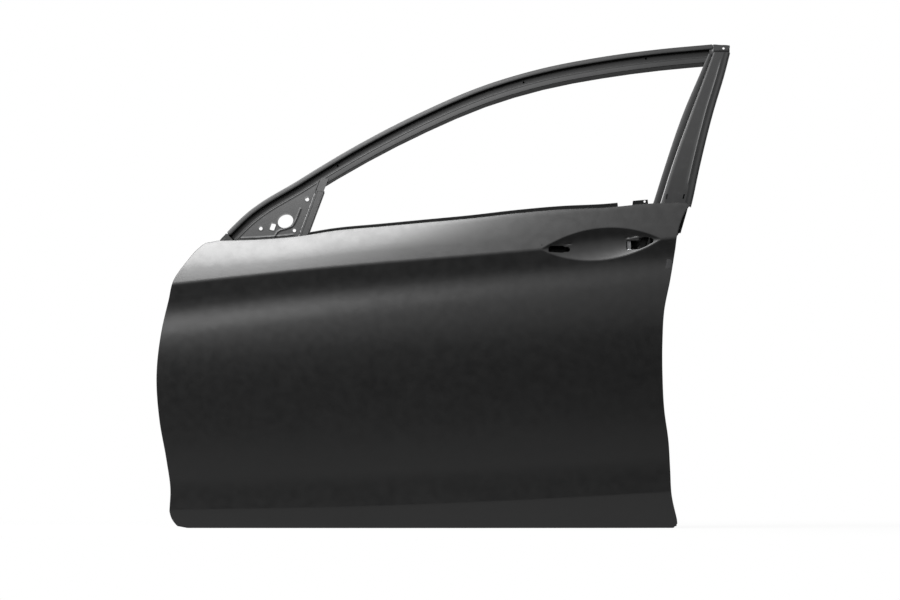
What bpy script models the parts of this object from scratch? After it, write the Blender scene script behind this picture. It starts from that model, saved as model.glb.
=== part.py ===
"""Front left door shell of a sedan: pressed steel panels, window frame and the steel inside.

X runs rearward, Y inboard and Z up.  The origin is the middle of the lower hinge's mounting face.
Heights written here are above the bottom edge of the door, and the empty that carries every
piece puts that edge LOWER_HINGE_HEIGHT below the origin.
"""

import bpy
import bmesh
import math
from mathutils import Vector
from mathutils.geometry import delaunay_2d_cdt

for old in list(bpy.data.objects):
    bpy.data.objects.remove(old, do_unlink=True)

MM = 0.001

# Sheet thicknesses and clearances.
SKIN_SHEET = 0.8 * MM
INNER_SHEET = 0.7 * MM
FRAME_SHEET = 0.8 * MM
FRAME_INNER_SHEET = 1.0 * MM
BELT_SHEET = 1.0 * MM
PLATE = 2.0 * MM
WELD_GAP = 0.3 * MM
FLATNESS = 0.05 * MM
HEM_STEP = 1.1 * MM
HEM_WIDTH = 12.0 * MM
FLANGE_WIDTH = 14.0 * MM

# Main sizes.
LOWER_HINGE_HEIGHT = 145.0 * MM
UPPER_HINGE_HEIGHT = 450.0 * MM
HINGE_PLATE_WIDTH = 52.0 * MM
HINGE_PLATE_HEIGHT = 88.0 * MM
HINGE_BOLT_PITCH = 56.0 * MM
HINGE_BOLT_HOLE = 11.0 * MM
HINGE_WALL_X = INNER_SHEET / 2
LATCH_WALL_X = 1028.0 * MM
BOTTOM_WALL_HEIGHT = 26.0 * MM
INNER_FACE_Y = 55.0 * MM
WALL_TOP_Y = 47.0 * MM
LEDGE_DEPTH = 14.0 * MM
LEDGE_FALL = 1.6 * MM
CREASE_Y = -50.0 * MM
PLAN_RADIUS = 8.0
PLAN_CENTRE_X = 480.0 * MM

# Window frame.
FRAME_SETBACK = 13.0 * MM
FRAME_LEAN = 0.30
FRAME_CURVE = 0.35
GLASS_CURVE = 0.60
GLASS_TURN = 0.25
HEADER_WIDTH = 39.0 * MM
HEADER_DEPTH = 28.0 * MM
STRIP_WIDTH = 10.0 * MM
CHANNEL_END = 21.0 * MM
CHANNEL_DEPTH = 9.0 * MM
RUN_DEPTH = 14.0 * MM
PILLAR_TOP = 1048.0 * MM

# Handle recess.
RECESS_FRONT = 788.0 * MM
RECESS_REAR = 1052.0 * MM
RECESS_HALF_HEIGHT = 35.0 * MM
RECESS_DEPTH = 6.0 * MM

# Impact beam.
BEAM_RADIUS = 14.0 * MM
BEAM_WALL = 2.2 * MM
BEAM_FRONT = (34.0 * MM, 374.0 * MM)
BEAM_REAR = (998.0 * MM, 236.0 * MM)
BEAM_SKIN_GAP = 1.5 * MM

# Bolts.
LATCH_HEIGHT = 505.0 * MM
CHECK_HEIGHT = 298.0 * MM
NUT_RADIUS = 7.5 * MM
NUT_HEIGHT = 6.5 * MM


def mm(points):
    return [tuple(v * MM for v in p) for p in points]


def curve(points):
    """A smooth curve through the points, as a function of their first value."""
    pts = mm(points)
    xs = [p[0] for p in pts]
    ys = [p[1] for p in pts]
    sec = [(ys[i + 1] - ys[i]) / (xs[i + 1] - xs[i]) for i in range(len(xs) - 1)]
    slope = [sec[0]]
    for i in range(1, len(xs) - 1):
        a, b = xs[i] - xs[i - 1], xs[i + 1] - xs[i]
        slope.append((sec[i - 1] * b + sec[i] * a) / (a + b))
    slope.append(sec[-1])

    def at(x):
        if x <= xs[0]:
            return ys[0] + slope[0] * (x - xs[0])
        if x >= xs[-1]:
            return ys[-1] + slope[-1] * (x - xs[-1])
        i = 0
        while x > xs[i + 1]:
            i += 1
        w = xs[i + 1] - xs[i]
        t = (x - xs[i]) / w
        return (ys[i] * (1 + 2 * t) * (1 - t) ** 2 + ys[i + 1] * t * t * (3 - 2 * t)
                + slope[i] * w * t * (1 - t) ** 2 - slope[i + 1] * w * t * t * (1 - t))
    return at


# The skin's edges and lines, seen square on from outside.
front_edge = curve([(40, -28.5), (82, -26.5), (148, -35), (236, -50.5), (335, -57), (434, -46),
                    (500, -31), (544, -20), (588, 11), (606, 26), (624, 46)])
rear_edge = curve([(8, 1088.5), (73, 1074), (126, 1071), (192, 1067), (258, 1058), (335, 1054),
                   (412, 1054), (478, 1058), (544, 1071), (610, 1082), (654, 1089), (698, 1107),
                   (714, 1120)])
belt_line = curve([(79, 630), (169, 632.5), (257, 640), (334, 652), (433, 661), (532, 670),
                   (631, 679), (730, 690), (829, 698.5), (928, 703), (1027, 712), (1120, 714)])
character_line = curve([(-24, 535), (264, 566), (686, 602.8), (1080, 637)])
lower_crease = curve([(-28, 40), (389, 48), (700, 60), (1074, 80)])
shoulder_tilt = curve([(-60, 35), (389, 34), (650, 25), (900, 21), (1120, 20)])

# Window frame lines, in the same view.
header_edge = curve([(50, 590), (79, 630), (125, 679), (257, 767), (389, 846), (521, 914),
                     (653, 971), (785, 1011), (917, 1037), (1049, 1055), (1166, 1066)])
pillar_front = curve([(340, 899), (720, 1037), (786, 1058), (918, 1104), (1006, 1142), (1048, 1160)])
pillar_gap = curve([(340, 915), (724, 1053), (776, 1069), (1037, 1164), (1048, 1168)])
pillar_rear = curve([(640, 1098), (717, 1120), (786, 1135), (918, 1168), (1006, 1194.5), (1050, 1206)])
bar_front = curve([(330, 137), (650, 258.5), (784, 308)])


def lerp(a, b, t):
    return a + (b - a) * t


def plan_bow(x):
    return (x - PLAN_CENTRE_X) ** 2 / (2 * PLAN_RADIUS)


def skin_profile(x):
    """Heights and upward tilts of the skin at one x, in three smooth runs parted by the creases."""
    low, mid, top = lower_crease(x), character_line(x), belt_line(max(x, 79 * MM))
    body = mid - low
    along = min(max((x + 57 * MM) / (1177 * MM), 0.0), 1.0)
    hollow = lerp(1.0, 0.8, along) * MM
    full = lerp(17.0, 15.0, along)
    end = shoulder_tilt(x) / MM
    return (
        [(-20 * MM, -14.0), (0.0, -12.0), (low, -6.0)],
        [(low, 5.0), (low + 0.05 * body, 3.0), (low + 0.10 * body, 0.0), (low + 0.14 * body, -3.5),
         (low + 0.24 * body, -3.0), (low + 0.34 * body, -1.0), (low + 0.44 * body, 0.0),
         (low + 0.54 * body, 2.0), (low + 0.64 * body, 5.0), (low + 0.70 * body, 8.0),
         (mid - 121 * hollow, 12.0), (mid - 103 * hollow, full - 1.0), (mid - 85 * hollow, full),
         (mid - 68 * hollow, full - 3.0), (mid - 50 * hollow, 6.0), (mid - 33 * hollow, 2.5),
         (mid, 2.0)],
        [(mid, 19.5), (lerp(mid, top, 0.33), lerp(19.5, end, 0.15)),
         (lerp(mid, top, 0.67), lerp(19.5, end, 0.62)), (top, end), (top + 40 * MM, end)],
    )


def climb(run, a, b):
    """How far the surface moves inboard from height a up to height b along one run."""
    if b < a:
        return -climb(run, b, a)
    total = 0.0
    for (z0, t0), (z1, t1) in zip(run, run[1:]):
        lo, hi = max(a, z0), min(b, z1)
        if hi > lo:
            s0, s1 = math.tan(math.radians(t0)), math.tan(math.radians(t1))
            at = (0.5 * (lo + hi) - z0) / (z1 - z0)
            total += (hi - lo) * lerp(s0, s1, at)
    return total


def plain_skin_y(x, z):
    under, body, shoulder = skin_profile(x)
    low, mid = lower_crease(x), character_line(x)
    y = CREASE_Y + plan_bow(x)
    if z >= mid:
        return y + climb(shoulder, mid, z)
    y -= climb(body, max(z, low), mid)
    if z < low:
        y -= climb(under, z, low)
    return y


def recess_half(x):
    """Half height of the lens-shaped handle recess at one x."""
    middle = 0.5 * (RECESS_FRONT + RECESS_REAR)
    half = 0.5 * (RECESS_REAR - RECESS_FRONT)
    a = x - middle
    if abs(a) >= half:
        return 0.0
    radius = (half ** 2 + RECESS_HALF_HEIGHT ** 2) / (2 * RECESS_HALF_HEIGHT)
    return math.sqrt(radius ** 2 - a * a) - (radius - RECESS_HALF_HEIGHT)


def skin_y(x, z):
    """Middle of the outer sheet, with the handle recess dished into it."""
    h = recess_half(x)
    b = z - character_line(x)
    if h <= 1e-6 or abs(b) >= h:
        return plain_skin_y(x, z)
    t = (b + h) / (2 * h)
    rim = lerp(plain_skin_y(x, character_line(x) - h), plain_skin_y(x, character_line(x) + h), t)
    return rim + RECESS_DEPTH * (h / RECESS_HALF_HEIGHT) * 4 * t * (1 - t)


def belt_y(x):
    return plain_skin_y(x, belt_line(x))


def glass_point(x, z, depth=0.0):
    """A point on the curved sheet that the side glass and the window frame follow."""
    h = z - belt_line(x)
    if h >= 0:
        y, slope = FRAME_LEAN * h + FRAME_CURVE * h * h, FRAME_LEAN + 2 * FRAME_CURVE * h
    else:
        h = max(h, -GLASS_TURN)
        y, slope = FRAME_LEAN * h + GLASS_CURVE * h * h, FRAME_LEAN + 2 * GLASS_CURVE * h
    lean = math.atan(slope)
    return (x, belt_y(x) + FRAME_SETBACK + y + depth * math.cos(lean), z - depth * math.sin(lean))


# Scene, materials and mesh helpers.
door = bpy.data.collections.new("car_door_shell")
cutters = bpy.data.collections.new("cutters")
bpy.context.scene.collection.children.link(door)
bpy.context.scene.collection.children.link(cutters)
datum = bpy.data.objects.new("door_datum", None)
datum.location = (0.0, 0.0, -LOWER_HINGE_HEIGHT)
door.objects.link(datum)


def material(name, colour, roughness, metallic):
    mat = bpy.data.materials.new(name)
    mat.use_nodes = True
    bsdf = mat.node_tree.nodes["Principled BSDF"]
    bsdf.inputs["Base Color"].default_value = (*colour, 1.0)
    bsdf.inputs["Roughness"].default_value = roughness
    bsdf.inputs["Metallic"].default_value = metallic
    return mat


def primer(name, shade, roughness):
    """Dark grey dipped primer, a little lighter or darker by piece."""
    return material(name + "_primer", (0.030 * shade, 0.031 * shade, 0.033 * shade), roughness, 0.0)


def to_door(obj, mat, collection=door):
    for other in obj.users_collection:
        other.objects.unlink(obj)
    collection.objects.link(obj)
    obj.parent = datum
    if mat is not None:
        obj.data.materials.clear()
        obj.data.materials.append(mat)
    return obj


def sheet(name, points, faces, thickness, mat):
    """A pressed sheet: the open middle surface given, thickened evenly to both sides."""
    mesh = bpy.data.meshes.new(name)
    mesh.from_pydata(points, [], faces)
    bm = bmesh.new()
    bm.from_mesh(mesh)
    bmesh.ops.remove_doubles(bm, verts=bm.verts, dist=1e-6)
    loose = [v for v in bm.verts if not v.link_faces]
    bmesh.ops.delete(bm, geom=loose, context="VERTS")
    bmesh.ops.recalc_face_normals(bm, faces=bm.faces)
    bm.to_mesh(mesh)
    bm.free()
    obj = bpy.data.objects.new(name, mesh)
    to_door(obj, mat)
    solid = obj.modifiers.new("sheet", "SOLIDIFY")
    solid.thickness = thickness
    solid.offset = 0.0
    solid.use_even_offset = True
    solid.use_quality_normals = True
    return obj


def strip(rows):
    """Points and four-sided faces joining rows of equal length."""
    n = len(rows[0])
    points = [p for row in rows for p in row]
    faces = [(r * n + c, r * n + c + 1, (r + 1) * n + c + 1, (r + 1) * n + c)
             for r in range(len(rows) - 1) for c in range(n - 1)]
    return points, faces


def inside(p, loop):
    hit = False
    for (x0, z0), (x1, z1) in zip(loop, loop[1:] + loop[:1]):
        if (z0 > p[1]) != (z1 > p[1]) and p[0] < (x1 - x0) * (p[1] - z0) / (z1 - z0) + x0:
            hit = not hit
    return hit


def clearance(p, line):
    best = 1.0
    for a, b in zip(line, line[1:]):
        d = (b[0] - a[0], b[1] - a[1])
        k = ((p[0] - a[0]) * d[0] + (p[1] - a[1]) * d[1]) / max(d[0] ** 2 + d[1] ** 2, 1e-12)
        k = min(max(k, 0.0), 1.0)
        best = min(best, math.hypot(p[0] - a[0] - k * d[0], p[1] - a[1] - k * d[1]))
    return best


def triangulate(outer, holes, lines, nodes, warp=lambda p: p):
    """Triangles inside the outer loop and outside the holes, with the lines kept as edges."""
    flat, index, edges = [], {}, []

    def add(p):
        key = (round(p[0], 7), round(p[1], 7))
        if key not in index:
            index[key] = len(flat)
            flat.append(p)
        return index[key]

    for loop in [outer] + holes:
        ids = [add(p) for p in loop]
        edges += list(zip(ids, ids[1:] + ids[:1]))
    for line in lines:
        ids = [add(p) for p in line]
        edges += list(zip(ids, ids[1:]))
    for p in nodes:
        add(p)
    out = delaunay_2d_cdt([Vector(warp(p)) for p in flat], edges, [], 0, 1e-7)
    verts, source = out[0], out[3]
    if any(not s for s in source):
        raise ValueError("two outlines cross")
    plain = [flat[s[0]] for s in source]
    faces = []
    bent = [[tuple(warp(p)) for p in loop] for loop in [outer] + holes]
    for f in out[2]:
        c = (sum(verts[i].x for i in f) / 3, sum(verts[i].y for i in f) / 3)
        if inside(c, bent[0]) and not any(inside(c, h) for h in bent[1:]):
            faces.append(tuple(f))
    return plain, faces


def circle(x, z, r, n=16):
    return [(x + r * math.cos(2 * math.pi * i / n), z + r * math.sin(2 * math.pi * i / n))
            for i in range(n)]


def rounded(corners, r, n=3):
    """A closed outline with each corner turned to an arc of radius r."""
    loop = []
    count = len(corners)
    for i in range(count):
        p, a, b = Vector(corners[i]), Vector(corners[i - 1]), Vector(corners[(i + 1) % count])
        u, v = (a - p).normalized(), (b - p).normalized()
        half = math.acos(max(-1.0, min(1.0, u.dot(v)))) / 2
        reach = min(r / math.tan(half), 0.45 * (a - p).length, 0.45 * (b - p).length)
        r_here = reach * math.tan(half)
        centre = p + (u + v).normalized() * (r_here / math.sin(half))
        start, stop = p + u * reach - centre, p + v * reach - centre
        for k in range(n + 1):
            t = k / n
            d = (start * (1 - t) + stop * t).normalized() * r_here
            loop.append(tuple(centre + d))
    return loop


def cutter_box(name, centre, size, group):
    bpy.ops.mesh.primitive_cube_add(size=1.0, location=centre)
    obj = bpy.context.object
    obj.scale = size
    bpy.ops.object.transform_apply(location=False, rotation=False, scale=True)
    return as_cutter(obj, name, group)


def cutter_rod(name, centre, radius, length, axis, group, sides=12):
    turn = {"x": (0, math.pi / 2, 0), "y": (math.pi / 2, 0, 0), "z": (0, 0, 0)}[axis]
    bpy.ops.mesh.primitive_cylinder_add(vertices=sides, radius=radius, depth=length,
                                        location=centre, rotation=turn)
    return as_cutter(bpy.context.object, name, group)


def as_cutter(obj, name, group):
    obj.name = name
    to_door(obj, None, group)
    obj.hide_render = True
    obj.display_type = "WIRE"
    return obj


def cutter_group(name):
    group = bpy.data.collections.new(name)
    cutters.children.link(group)
    return group


def cut(obj, group):
    mod = obj.modifiers.new(group.name, "BOOLEAN")
    mod.operation = "DIFFERENCE"
    mod.solver = "EXACT"
    mod.operand_type = "COLLECTION"
    mod.collection = group
    return obj


# The hemmed edge, shared by the outer and the inner panel.
def crease_end(edge, line, z):
    for _ in range(8):
        z = line(edge(z))
    return (edge(z), z)


FRONT_CREASE = crease_end(front_edge, character_line, 535 * MM)
REAR_CREASE = crease_end(rear_edge, character_line, 637 * MM)
FRONT_LOW = crease_end(front_edge, lower_crease, 40 * MM)
REAR_LOW = crease_end(rear_edge, lower_crease, 80 * MM)

# The inner panel's wall line above the straight hinge face, by height of the skin's edge.
wall_x_top = curve([(500, 0), (535, 14), (566, 48), (588, 98), (606, 140), (624, 166)])
wall_z_top = curve([(500, 500), (535, 522), (566, 550), (588, 575), (606, 597), (624, 629)])

rim_points, wall_points = [], []


def front_wall(z):
    if z > 500 * MM:
        return (HINGE_WALL_X + wall_x_top(z), wall_z_top(z))
    return (HINGE_WALL_X, z)


for z in [v * MM for v in (624, 615, 606, 588, 566)]:
    rim_points.append((front_edge(z), z))
    wall_points.append(front_wall(z))
rim_points.append(FRONT_CREASE)
wall_points.append(front_wall(FRONT_CREASE[1]))
for z in [v * MM for v in (516, 500, 484, 468, 451, 434, 410, 385, 335, 285, 236, 190, 148, 110, 78)]:
    rim_points.append((front_edge(z), z))
    wall_points.append(front_wall(z))
rim_points.append(FRONT_LOW)
wall_points.append((HINGE_WALL_X, 50 * MM))
rim_points += mm([(-24, 21), (-14, 7), (0, 0.5)])
wall_points += mm([(1.5, 37), (7, 29), (20, 26)])
bottom_stations = [x * MM for x in (60, 140, 220, 300, 380, 460, 540, 620, 700, 780, 860, 940, 1010)]
for x in bottom_stations:
    rim_points.append((x, 0.0))
    wall_points.append((x, BOTTOM_WALL_HEIGHT))
rim_points += mm([(1078, 0), (1087, 1.5), (1088.5, 8)])
wall_points += mm([(1016, 27.5), (1024, 33), (1028, 42)])
rim_points.append((rear_edge(40 * MM), 40 * MM))
wall_points.append((LATCH_WALL_X, 60 * MM))
rim_points.append(REAR_LOW)
wall_points.append((LATCH_WALL_X, REAR_LOW[1]))
for z in [v * MM for v in (126, 192, 258, 335, 412, 478, 544, 600)]:
    rim_points.append((rear_edge(z), z))
    wall_points.append((LATCH_WALL_X, z))
rim_points.append(REAR_CREASE)
wall_points.append((LATCH_WALL_X, REAR_CREASE[1]))
for z in [v * MM for v in (660, 680, 698, 712)]:
    drop = 4 * MM if z > 705 * MM else 0.0
    rim_points.append((rear_edge(z), z))
    wall_points.append((max(LATCH_WALL_X, pillar_gap(z) + 5 * MM), z - drop))


def normals(points):
    """Inward directions at the points of a line that runs down the front and up the rear."""
    result = []
    for i in range(len(points)):
        a, b = points[max(i - 1, 0)], points[min(i + 1, len(points) - 1)]
        d = Vector((b[0] - a[0], b[1] - a[1])).normalized()
        result.append(Vector((-d.y, d.x)))
    return result


rim_normals = normals(rim_points)
for end, line in ((FRONT_CREASE, character_line), (FRONT_LOW, lower_crease),
                  (REAR_CREASE, character_line), (REAR_LOW, lower_crease)):
    i = rim_points.index(end)
    side = 1 if end[0] < 0.5 else -1
    step = side * 10 * MM
    rim_normals[i] = Vector((step, line(end[0] + step) - line(end[0]))).normalized()
for n, (x, z) in zip((-3, -2, -1), ((-0.97, 0.20), (-1.0, 0.05), (-1.0, -0.10))):
    rim_normals[n] = Vector((x, z)).normalized()
corner = rim_points.index((1078 * MM, 0.0))
for n, (x, z) in enumerate(mm([(1070, 17), (1072, 17.3), (1072.3, 18)])):
    rim_normals[corner + n] = (Vector((x, z)) - Vector(rim_points[corner + n])) / (17 * MM)
wall_normals = normals(wall_points)


def inset(i, distance):
    p = Vector(rim_points[i]) + rim_normals[i] * distance
    return (p.x, p.y)


RIM = range(len(rim_points))

# Outer panel.
columns = [x * MM for x in (-20, 40, 110, 185, 260, 335, 410, 485, 560, 630, 700, 760, 800, 840, 880,
                            920, 960, 1000, 1040, 1075)]
belt_stations = [x * MM for x in (1104, 1075, 1024, 988, 956, 920, 880, 840, 800, 760, 700, 630, 560,
                                  485, 410, 335, 279, 225, 169, 120, 79)]
top_line = [(x, belt_line(x)) for x in belt_stations]
START_EDGE = mm([(58, 627.5)])
skin_outer = [inset(i, 1.2 * MM) for i in RIM]
outline = skin_outer + top_line + START_EDGE
ring = [inset(i, HEM_WIDTH) for i in RIM]
top_ring = [(x, z - 12 * MM) for x, z in top_line[1:-1]]
ring_loop = ring + top_ring


def row_heights(x):
    low, mid, top = lower_crease(x), character_line(x), belt_line(max(x, 79 * MM))
    body = mid - low
    along = min(max((x + 57 * MM) / (1177 * MM), 0.0), 1.0)
    hollow = lerp(1.0, 0.8, along) * MM
    return [0.0, low, low + 0.05 * body, low + 0.10 * body, low + 0.14 * body, low + 0.24 * body,
            low + 0.34 * body, low + 0.44 * body, low + 0.54 * body, low + 0.64 * body,
            low + 0.70 * body, mid - 121 * hollow, mid - 103 * hollow, mid - 85 * hollow,
            mid - 68 * hollow, mid - 50 * hollow, mid - 33 * hollow, mid,
            lerp(mid, top, 0.33), lerp(mid, top, 0.67), top]


LOW_ROW, CREASE_ROW = 1, 17


def skin_warp(p):
    """Columns and rows made square, so that triangles follow the rows."""
    rows = row_heights(p[0])
    k = 0
    while k < len(rows) - 2 and p[1] > rows[k + 1]:
        k += 1
    return (p[0] / (70 * MM), k + (p[1] - rows[k]) / (rows[k + 1] - rows[k]))


def recess_rim(x, side):
    return (x, character_line(x) + side * recess_half(x))


recess_columns = [lerp(RECESS_FRONT, RECESS_REAR, t) for t in
                  (0.0, 0.06, 0.14, 0.24, 0.34, 0.45, 0.56, 0.66, 0.76, 0.85, 0.94, 1.0)]
upper_rim = [recess_rim(x, 1) for x in recess_columns]
lower_rim = [recess_rim(x, -1) for x in recess_columns]
recess_loop = upper_rim + lower_rim[-2:0:-1]

# Two handle openings: a stepped slot in front, and a square one with a bullet-shaped end behind.
front_opening = mm([(806, 606.5), (836, 604.5), (838, 606), (848, 606), (851, 609), (851, 613.5),
                    (848, 617), (838, 618), (836, 619.5), (810, 619.5), (805, 616.5), (803.5, 611)])
rear_opening = mm([(975, 611), (1003, 612), (1017, 618), (1028, 624), (1034, 628), (1034, 634),
                   (1028, 638), (1016, 639.5), (1003, 637), (1003, 631.5), (975, 631.5)])

nodes = []
skin_lines = [ring_loop + ring_loop[:1], recess_loop + recess_loop[:1]]
for row, ends in ((LOW_ROW, (FRONT_LOW, REAR_LOW)), (CREASE_ROW, (FRONT_CREASE, REAR_CREASE))):
    a, b = rim_points.index(ends[0]), rim_points.index(ends[1])
    middle = [(x, row_heights(x)[row]) for x in columns]
    middle = [p for p in middle if ring[a][0] + 15 * MM < p[0] < ring[b][0] - 15 * MM]
    if row == CREASE_ROW:
        before = [p for p in middle if p[0] < RECESS_FRONT - 12 * MM]
        skin_lines.append([skin_outer[a], ring[a]] + before + [upper_rim[0]])
        skin_lines.append([upper_rim[-1], ring[b], skin_outer[b]])
    else:
        skin_lines.append([skin_outer[a], ring[a]] + middle + [ring[b], skin_outer[b]])
for x in columns:
    for k, z in enumerate(row_heights(x)):
        if k in (0, LOW_ROW, CREASE_ROW, 20) or not inside((x, z), ring_loop):
            continue
        if clearance((x, z), ring_loop + ring_loop[:1]) < 7 * MM:
            continue
        if abs(z - character_line(x)) < recess_half(x) + 4 * MM:
            continue
        nodes.append((x, z))
for x in recess_columns[1:-1]:
    for t in (-0.5, 0.0, 0.5):
        p = (x, character_line(x) + t * recess_half(x))
        openings = (front_opening, rear_opening)
        if not any(inside(p, o) or clearance(p, o + o[:1]) < 2 * MM for o in openings):
            nodes.append(p)
skin_plain, skin_faces = triangulate(outline, [front_opening, rear_opening], skin_lines, nodes, skin_warp)
points = [(x, skin_y(x, z), z) for x, z in skin_plain]
faces = list(skin_faces)

# The hem folds round the inner panel's flange, and the top edge turns down inside the glass slot.
fold = []
for out, deep in ((1.2 * MM, 0.0), (0.0, HEM_STEP), (1.2 * MM, 2 * HEM_STEP), (HEM_WIDTH, 2 * HEM_STEP)):
    fold.append([(inset(i, out)[0], skin_y(*inset(i, out)) + deep, inset(i, out)[1]) for i in RIM])
turned = [[(x, skin_y(x, z) + dy, z + dz) for x, z in top_line[1:]]
          for dy, dz in ((0.0, 0.0), (3.0 * MM, -0.4 * MM), (3.2 * MM, -7 * MM))]
for extra_points, extra_faces in (strip(fold), strip(turned)):
    base = len(points)
    points += extra_points
    faces += [tuple(base + k for k in f) for f in extra_faces]
sheet("outer_panel", points, faces, SKIN_SHEET, primer("outer_panel", 1.0, 0.36))

# Inner panel.
START_Z_FRAME = 545 * MM


def ledge_y(i, x, z, way_in):
    """Depth of the seal ledge: a step behind the skin, and on the frame's own curve near the belt.

    Beside a wall it is measured at the point's own height, and it falls away from the wall, so that
    nothing stands over a plate laid on the wall.
    """
    p = inset(i, FLANGE_WIDTH)
    beside = abs(wall_normals[i].x)
    plain = skin_y(p[0], lerp(p[1], z, beside)) + HEM_STEP + LEDGE_DEPTH + LEDGE_FALL * beside * way_in
    blend = min(max((rim_points[i][1] - START_Z_FRAME) / (55 * MM), 0.0), 1.0)
    blend = blend * blend * (3 - 2 * blend)
    framed = glass_point(max(x, 60 * MM), z)[1] + 1.0 * MM
    return lerp(plain, framed, blend)


flange = [[(inset(i, d)[0], skin_y(*inset(i, d)) + HEM_STEP, inset(i, d)[1]) for i in RIM]
          for d in (2.4 * MM, FLANGE_WIDTH)]
step_in = [inset(i, FLANGE_WIDTH + 2 * MM) for i in RIM]
ledge_out = [(step_in[i][0], ledge_y(i, *step_in[i], 0.0), step_in[i][1]) for i in RIM]
ledge_mid, ledge_in = [], []
for i in RIM:
    m = (lerp(step_in[i][0], wall_points[i][0], 0.5), lerp(step_in[i][1], wall_points[i][1], 0.5))
    ledge_mid.append((m[0], ledge_y(i, *m, 0.5), m[1]))
    ledge_in.append((wall_points[i][0], ledge_y(i, *wall_points[i], 1.0), wall_points[i][1]))
wall_top = [(x, WALL_TOP_Y, z) for x, z in wall_points]


def wall_inset(i, d):
    p = Vector(wall_points[i]) + wall_normals[i] * d
    return (p.x, p.y)


round_in = [(*wall_inset(i, 2.5 * MM), 0) for i in RIM]
round_in = [(p[0], lerp(WALL_TOP_Y, INNER_FACE_Y, 0.72), p[1]) for p in round_in]
face_rim = [wall_inset(i, 9 * MM) for i in RIM]
rows = flange + [ledge_out, ledge_mid, ledge_in, wall_top, round_in,
                 [(x, INNER_FACE_Y, z) for x, z in face_rim]]
points, faces = strip(rows)

top_of_face = [(x, belt_line(x) - 3 * MM) for x in belt_stations
               if face_rim[0][0] + 20 * MM < x < face_rim[-1][0] - 15 * MM]
face_loop = face_rim + top_of_face
pressings = [
    (circle(196 * MM, 196 * MM, 98 * MM, 28), circle(196 * MM, 196 * MM, 92 * MM, 28), -7 * MM),
    (rounded(mm([(420, 150), (650, 130), (680, 450), (430, 470)]), 34 * MM),
     rounded(mm([(427, 158), (643, 139), (672, 442), (438, 461)]), 28 * MM), -6 * MM),
    (rounded(mm([(715, 215), (930, 235), (905, 430), (725, 440)]), 30 * MM),
     rounded(mm([(722, 223), (921, 242), (898, 422), (732, 432)]), 24 * MM), -6 * MM),
    (rounded(mm([(235, 322), (390, 322), (390, 470), (220, 440)]), 26 * MM),
     rounded(mm([(242, 329), (383, 329), (383, 461), (229, 434)]), 20 * MM), -6 * MM),
    (rounded(mm([(150, 508), (900, 540), (900, 572), (170, 545)]), 15 * MM),
     rounded(mm([(160, 514), (892, 546), (892, 566), (178, 539)]), 9 * MM), -7 * MM),
    (rounded(mm([(70, 70), (980, 70), (980, 96), (70, 96)]), 12 * MM),
     rounded(mm([(78, 76), (972, 76), (972, 90), (78, 90)]), 6 * MM), -6 * MM),
]
panel_holes = [
    circle(196 * MM, 196 * MM, 80 * MM, 28),
    rounded(mm([(441, 172), (630, 154), (658, 428), (452, 446)]), 24 * MM),
    rounded(mm([(736, 236), (906, 256), (884, 408), (746, 418)]), 20 * MM),
    rounded(mm([(256, 343), (369, 343), (369, 444), (244, 421)]), 16 * MM),
    rounded(mm([(932, 452), (984, 452), (984, 526), (932, 526)]), 12 * MM),
    circle(84 * MM, 250 * MM, 14 * MM, 14),
    circle(84 * MM, 420 * MM, 9 * MM, 10),
    circle(560 * MM, 602 * MM, 9 * MM, 10),
    circle(330 * MM, 590 * MM, 9 * MM, 10),
    circle(800 * MM, 618 * MM, 9 * MM, 10),
    circle(690 * MM, 500 * MM, 11 * MM, 12),
    circle(560 * MM, 500 * MM, 11 * MM, 12),
    circle(964 * MM, 300 * MM, 8 * MM, 10),
    circle(964 * MM, 160 * MM, 8 * MM, 10),
    circle(350 * MM, 240 * MM, 8 * MM, 10),
]
press_lines, deep = [], {}
for outside, within, drop in pressings:
    press_lines += [outside + outside[:1], within + within[:1]]
    for p in within:
        deep[(round(p[0], 6), round(p[1], 6))] = drop


def face_y(p):
    key = (round(p[0], 6), round(p[1], 6))
    if key in deep:
        return INNER_FACE_Y + deep[key]
    for outside, within, drop in pressings:
        if inside(p, within):
            return INNER_FACE_Y + drop
    return INNER_FACE_Y


flat, tris = triangulate(face_loop, panel_holes, press_lines, [])
base = len(points)
points += [(p[0], face_y(p), p[1]) for p in flat]
faces += [tuple(base + k for k in f) for f in tris]
inner_panel = sheet("inner_panel", points, faces, INNER_SHEET, primer("inner_panel", 0.9, 0.42))


def true_up(obj, planes):
    """Thickens the sheet for good, and sets what lies within FLATNESS of a mating plane exactly on it."""
    solid = bpy.data.meshes.new_from_object(obj.evaluated_get(bpy.context.evaluated_depsgraph_get()))
    obj.modifiers.clear()
    obj.data = solid
    for v in solid.vertices:
        for axis, value in planes:
            if abs(v.co[axis] - value) < FLATNESS:
                v.co[axis] = value


half_sheet = INNER_SHEET / 2
true_up(inner_panel, [(0, HINGE_WALL_X - half_sheet), (0, HINGE_WALL_X + half_sheet),
                      (0, LATCH_WALL_X - half_sheet), (0, LATCH_WALL_X + half_sheet),
                      (1, INNER_FACE_Y - half_sheet), (1, INNER_FACE_Y + half_sheet)])

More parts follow.
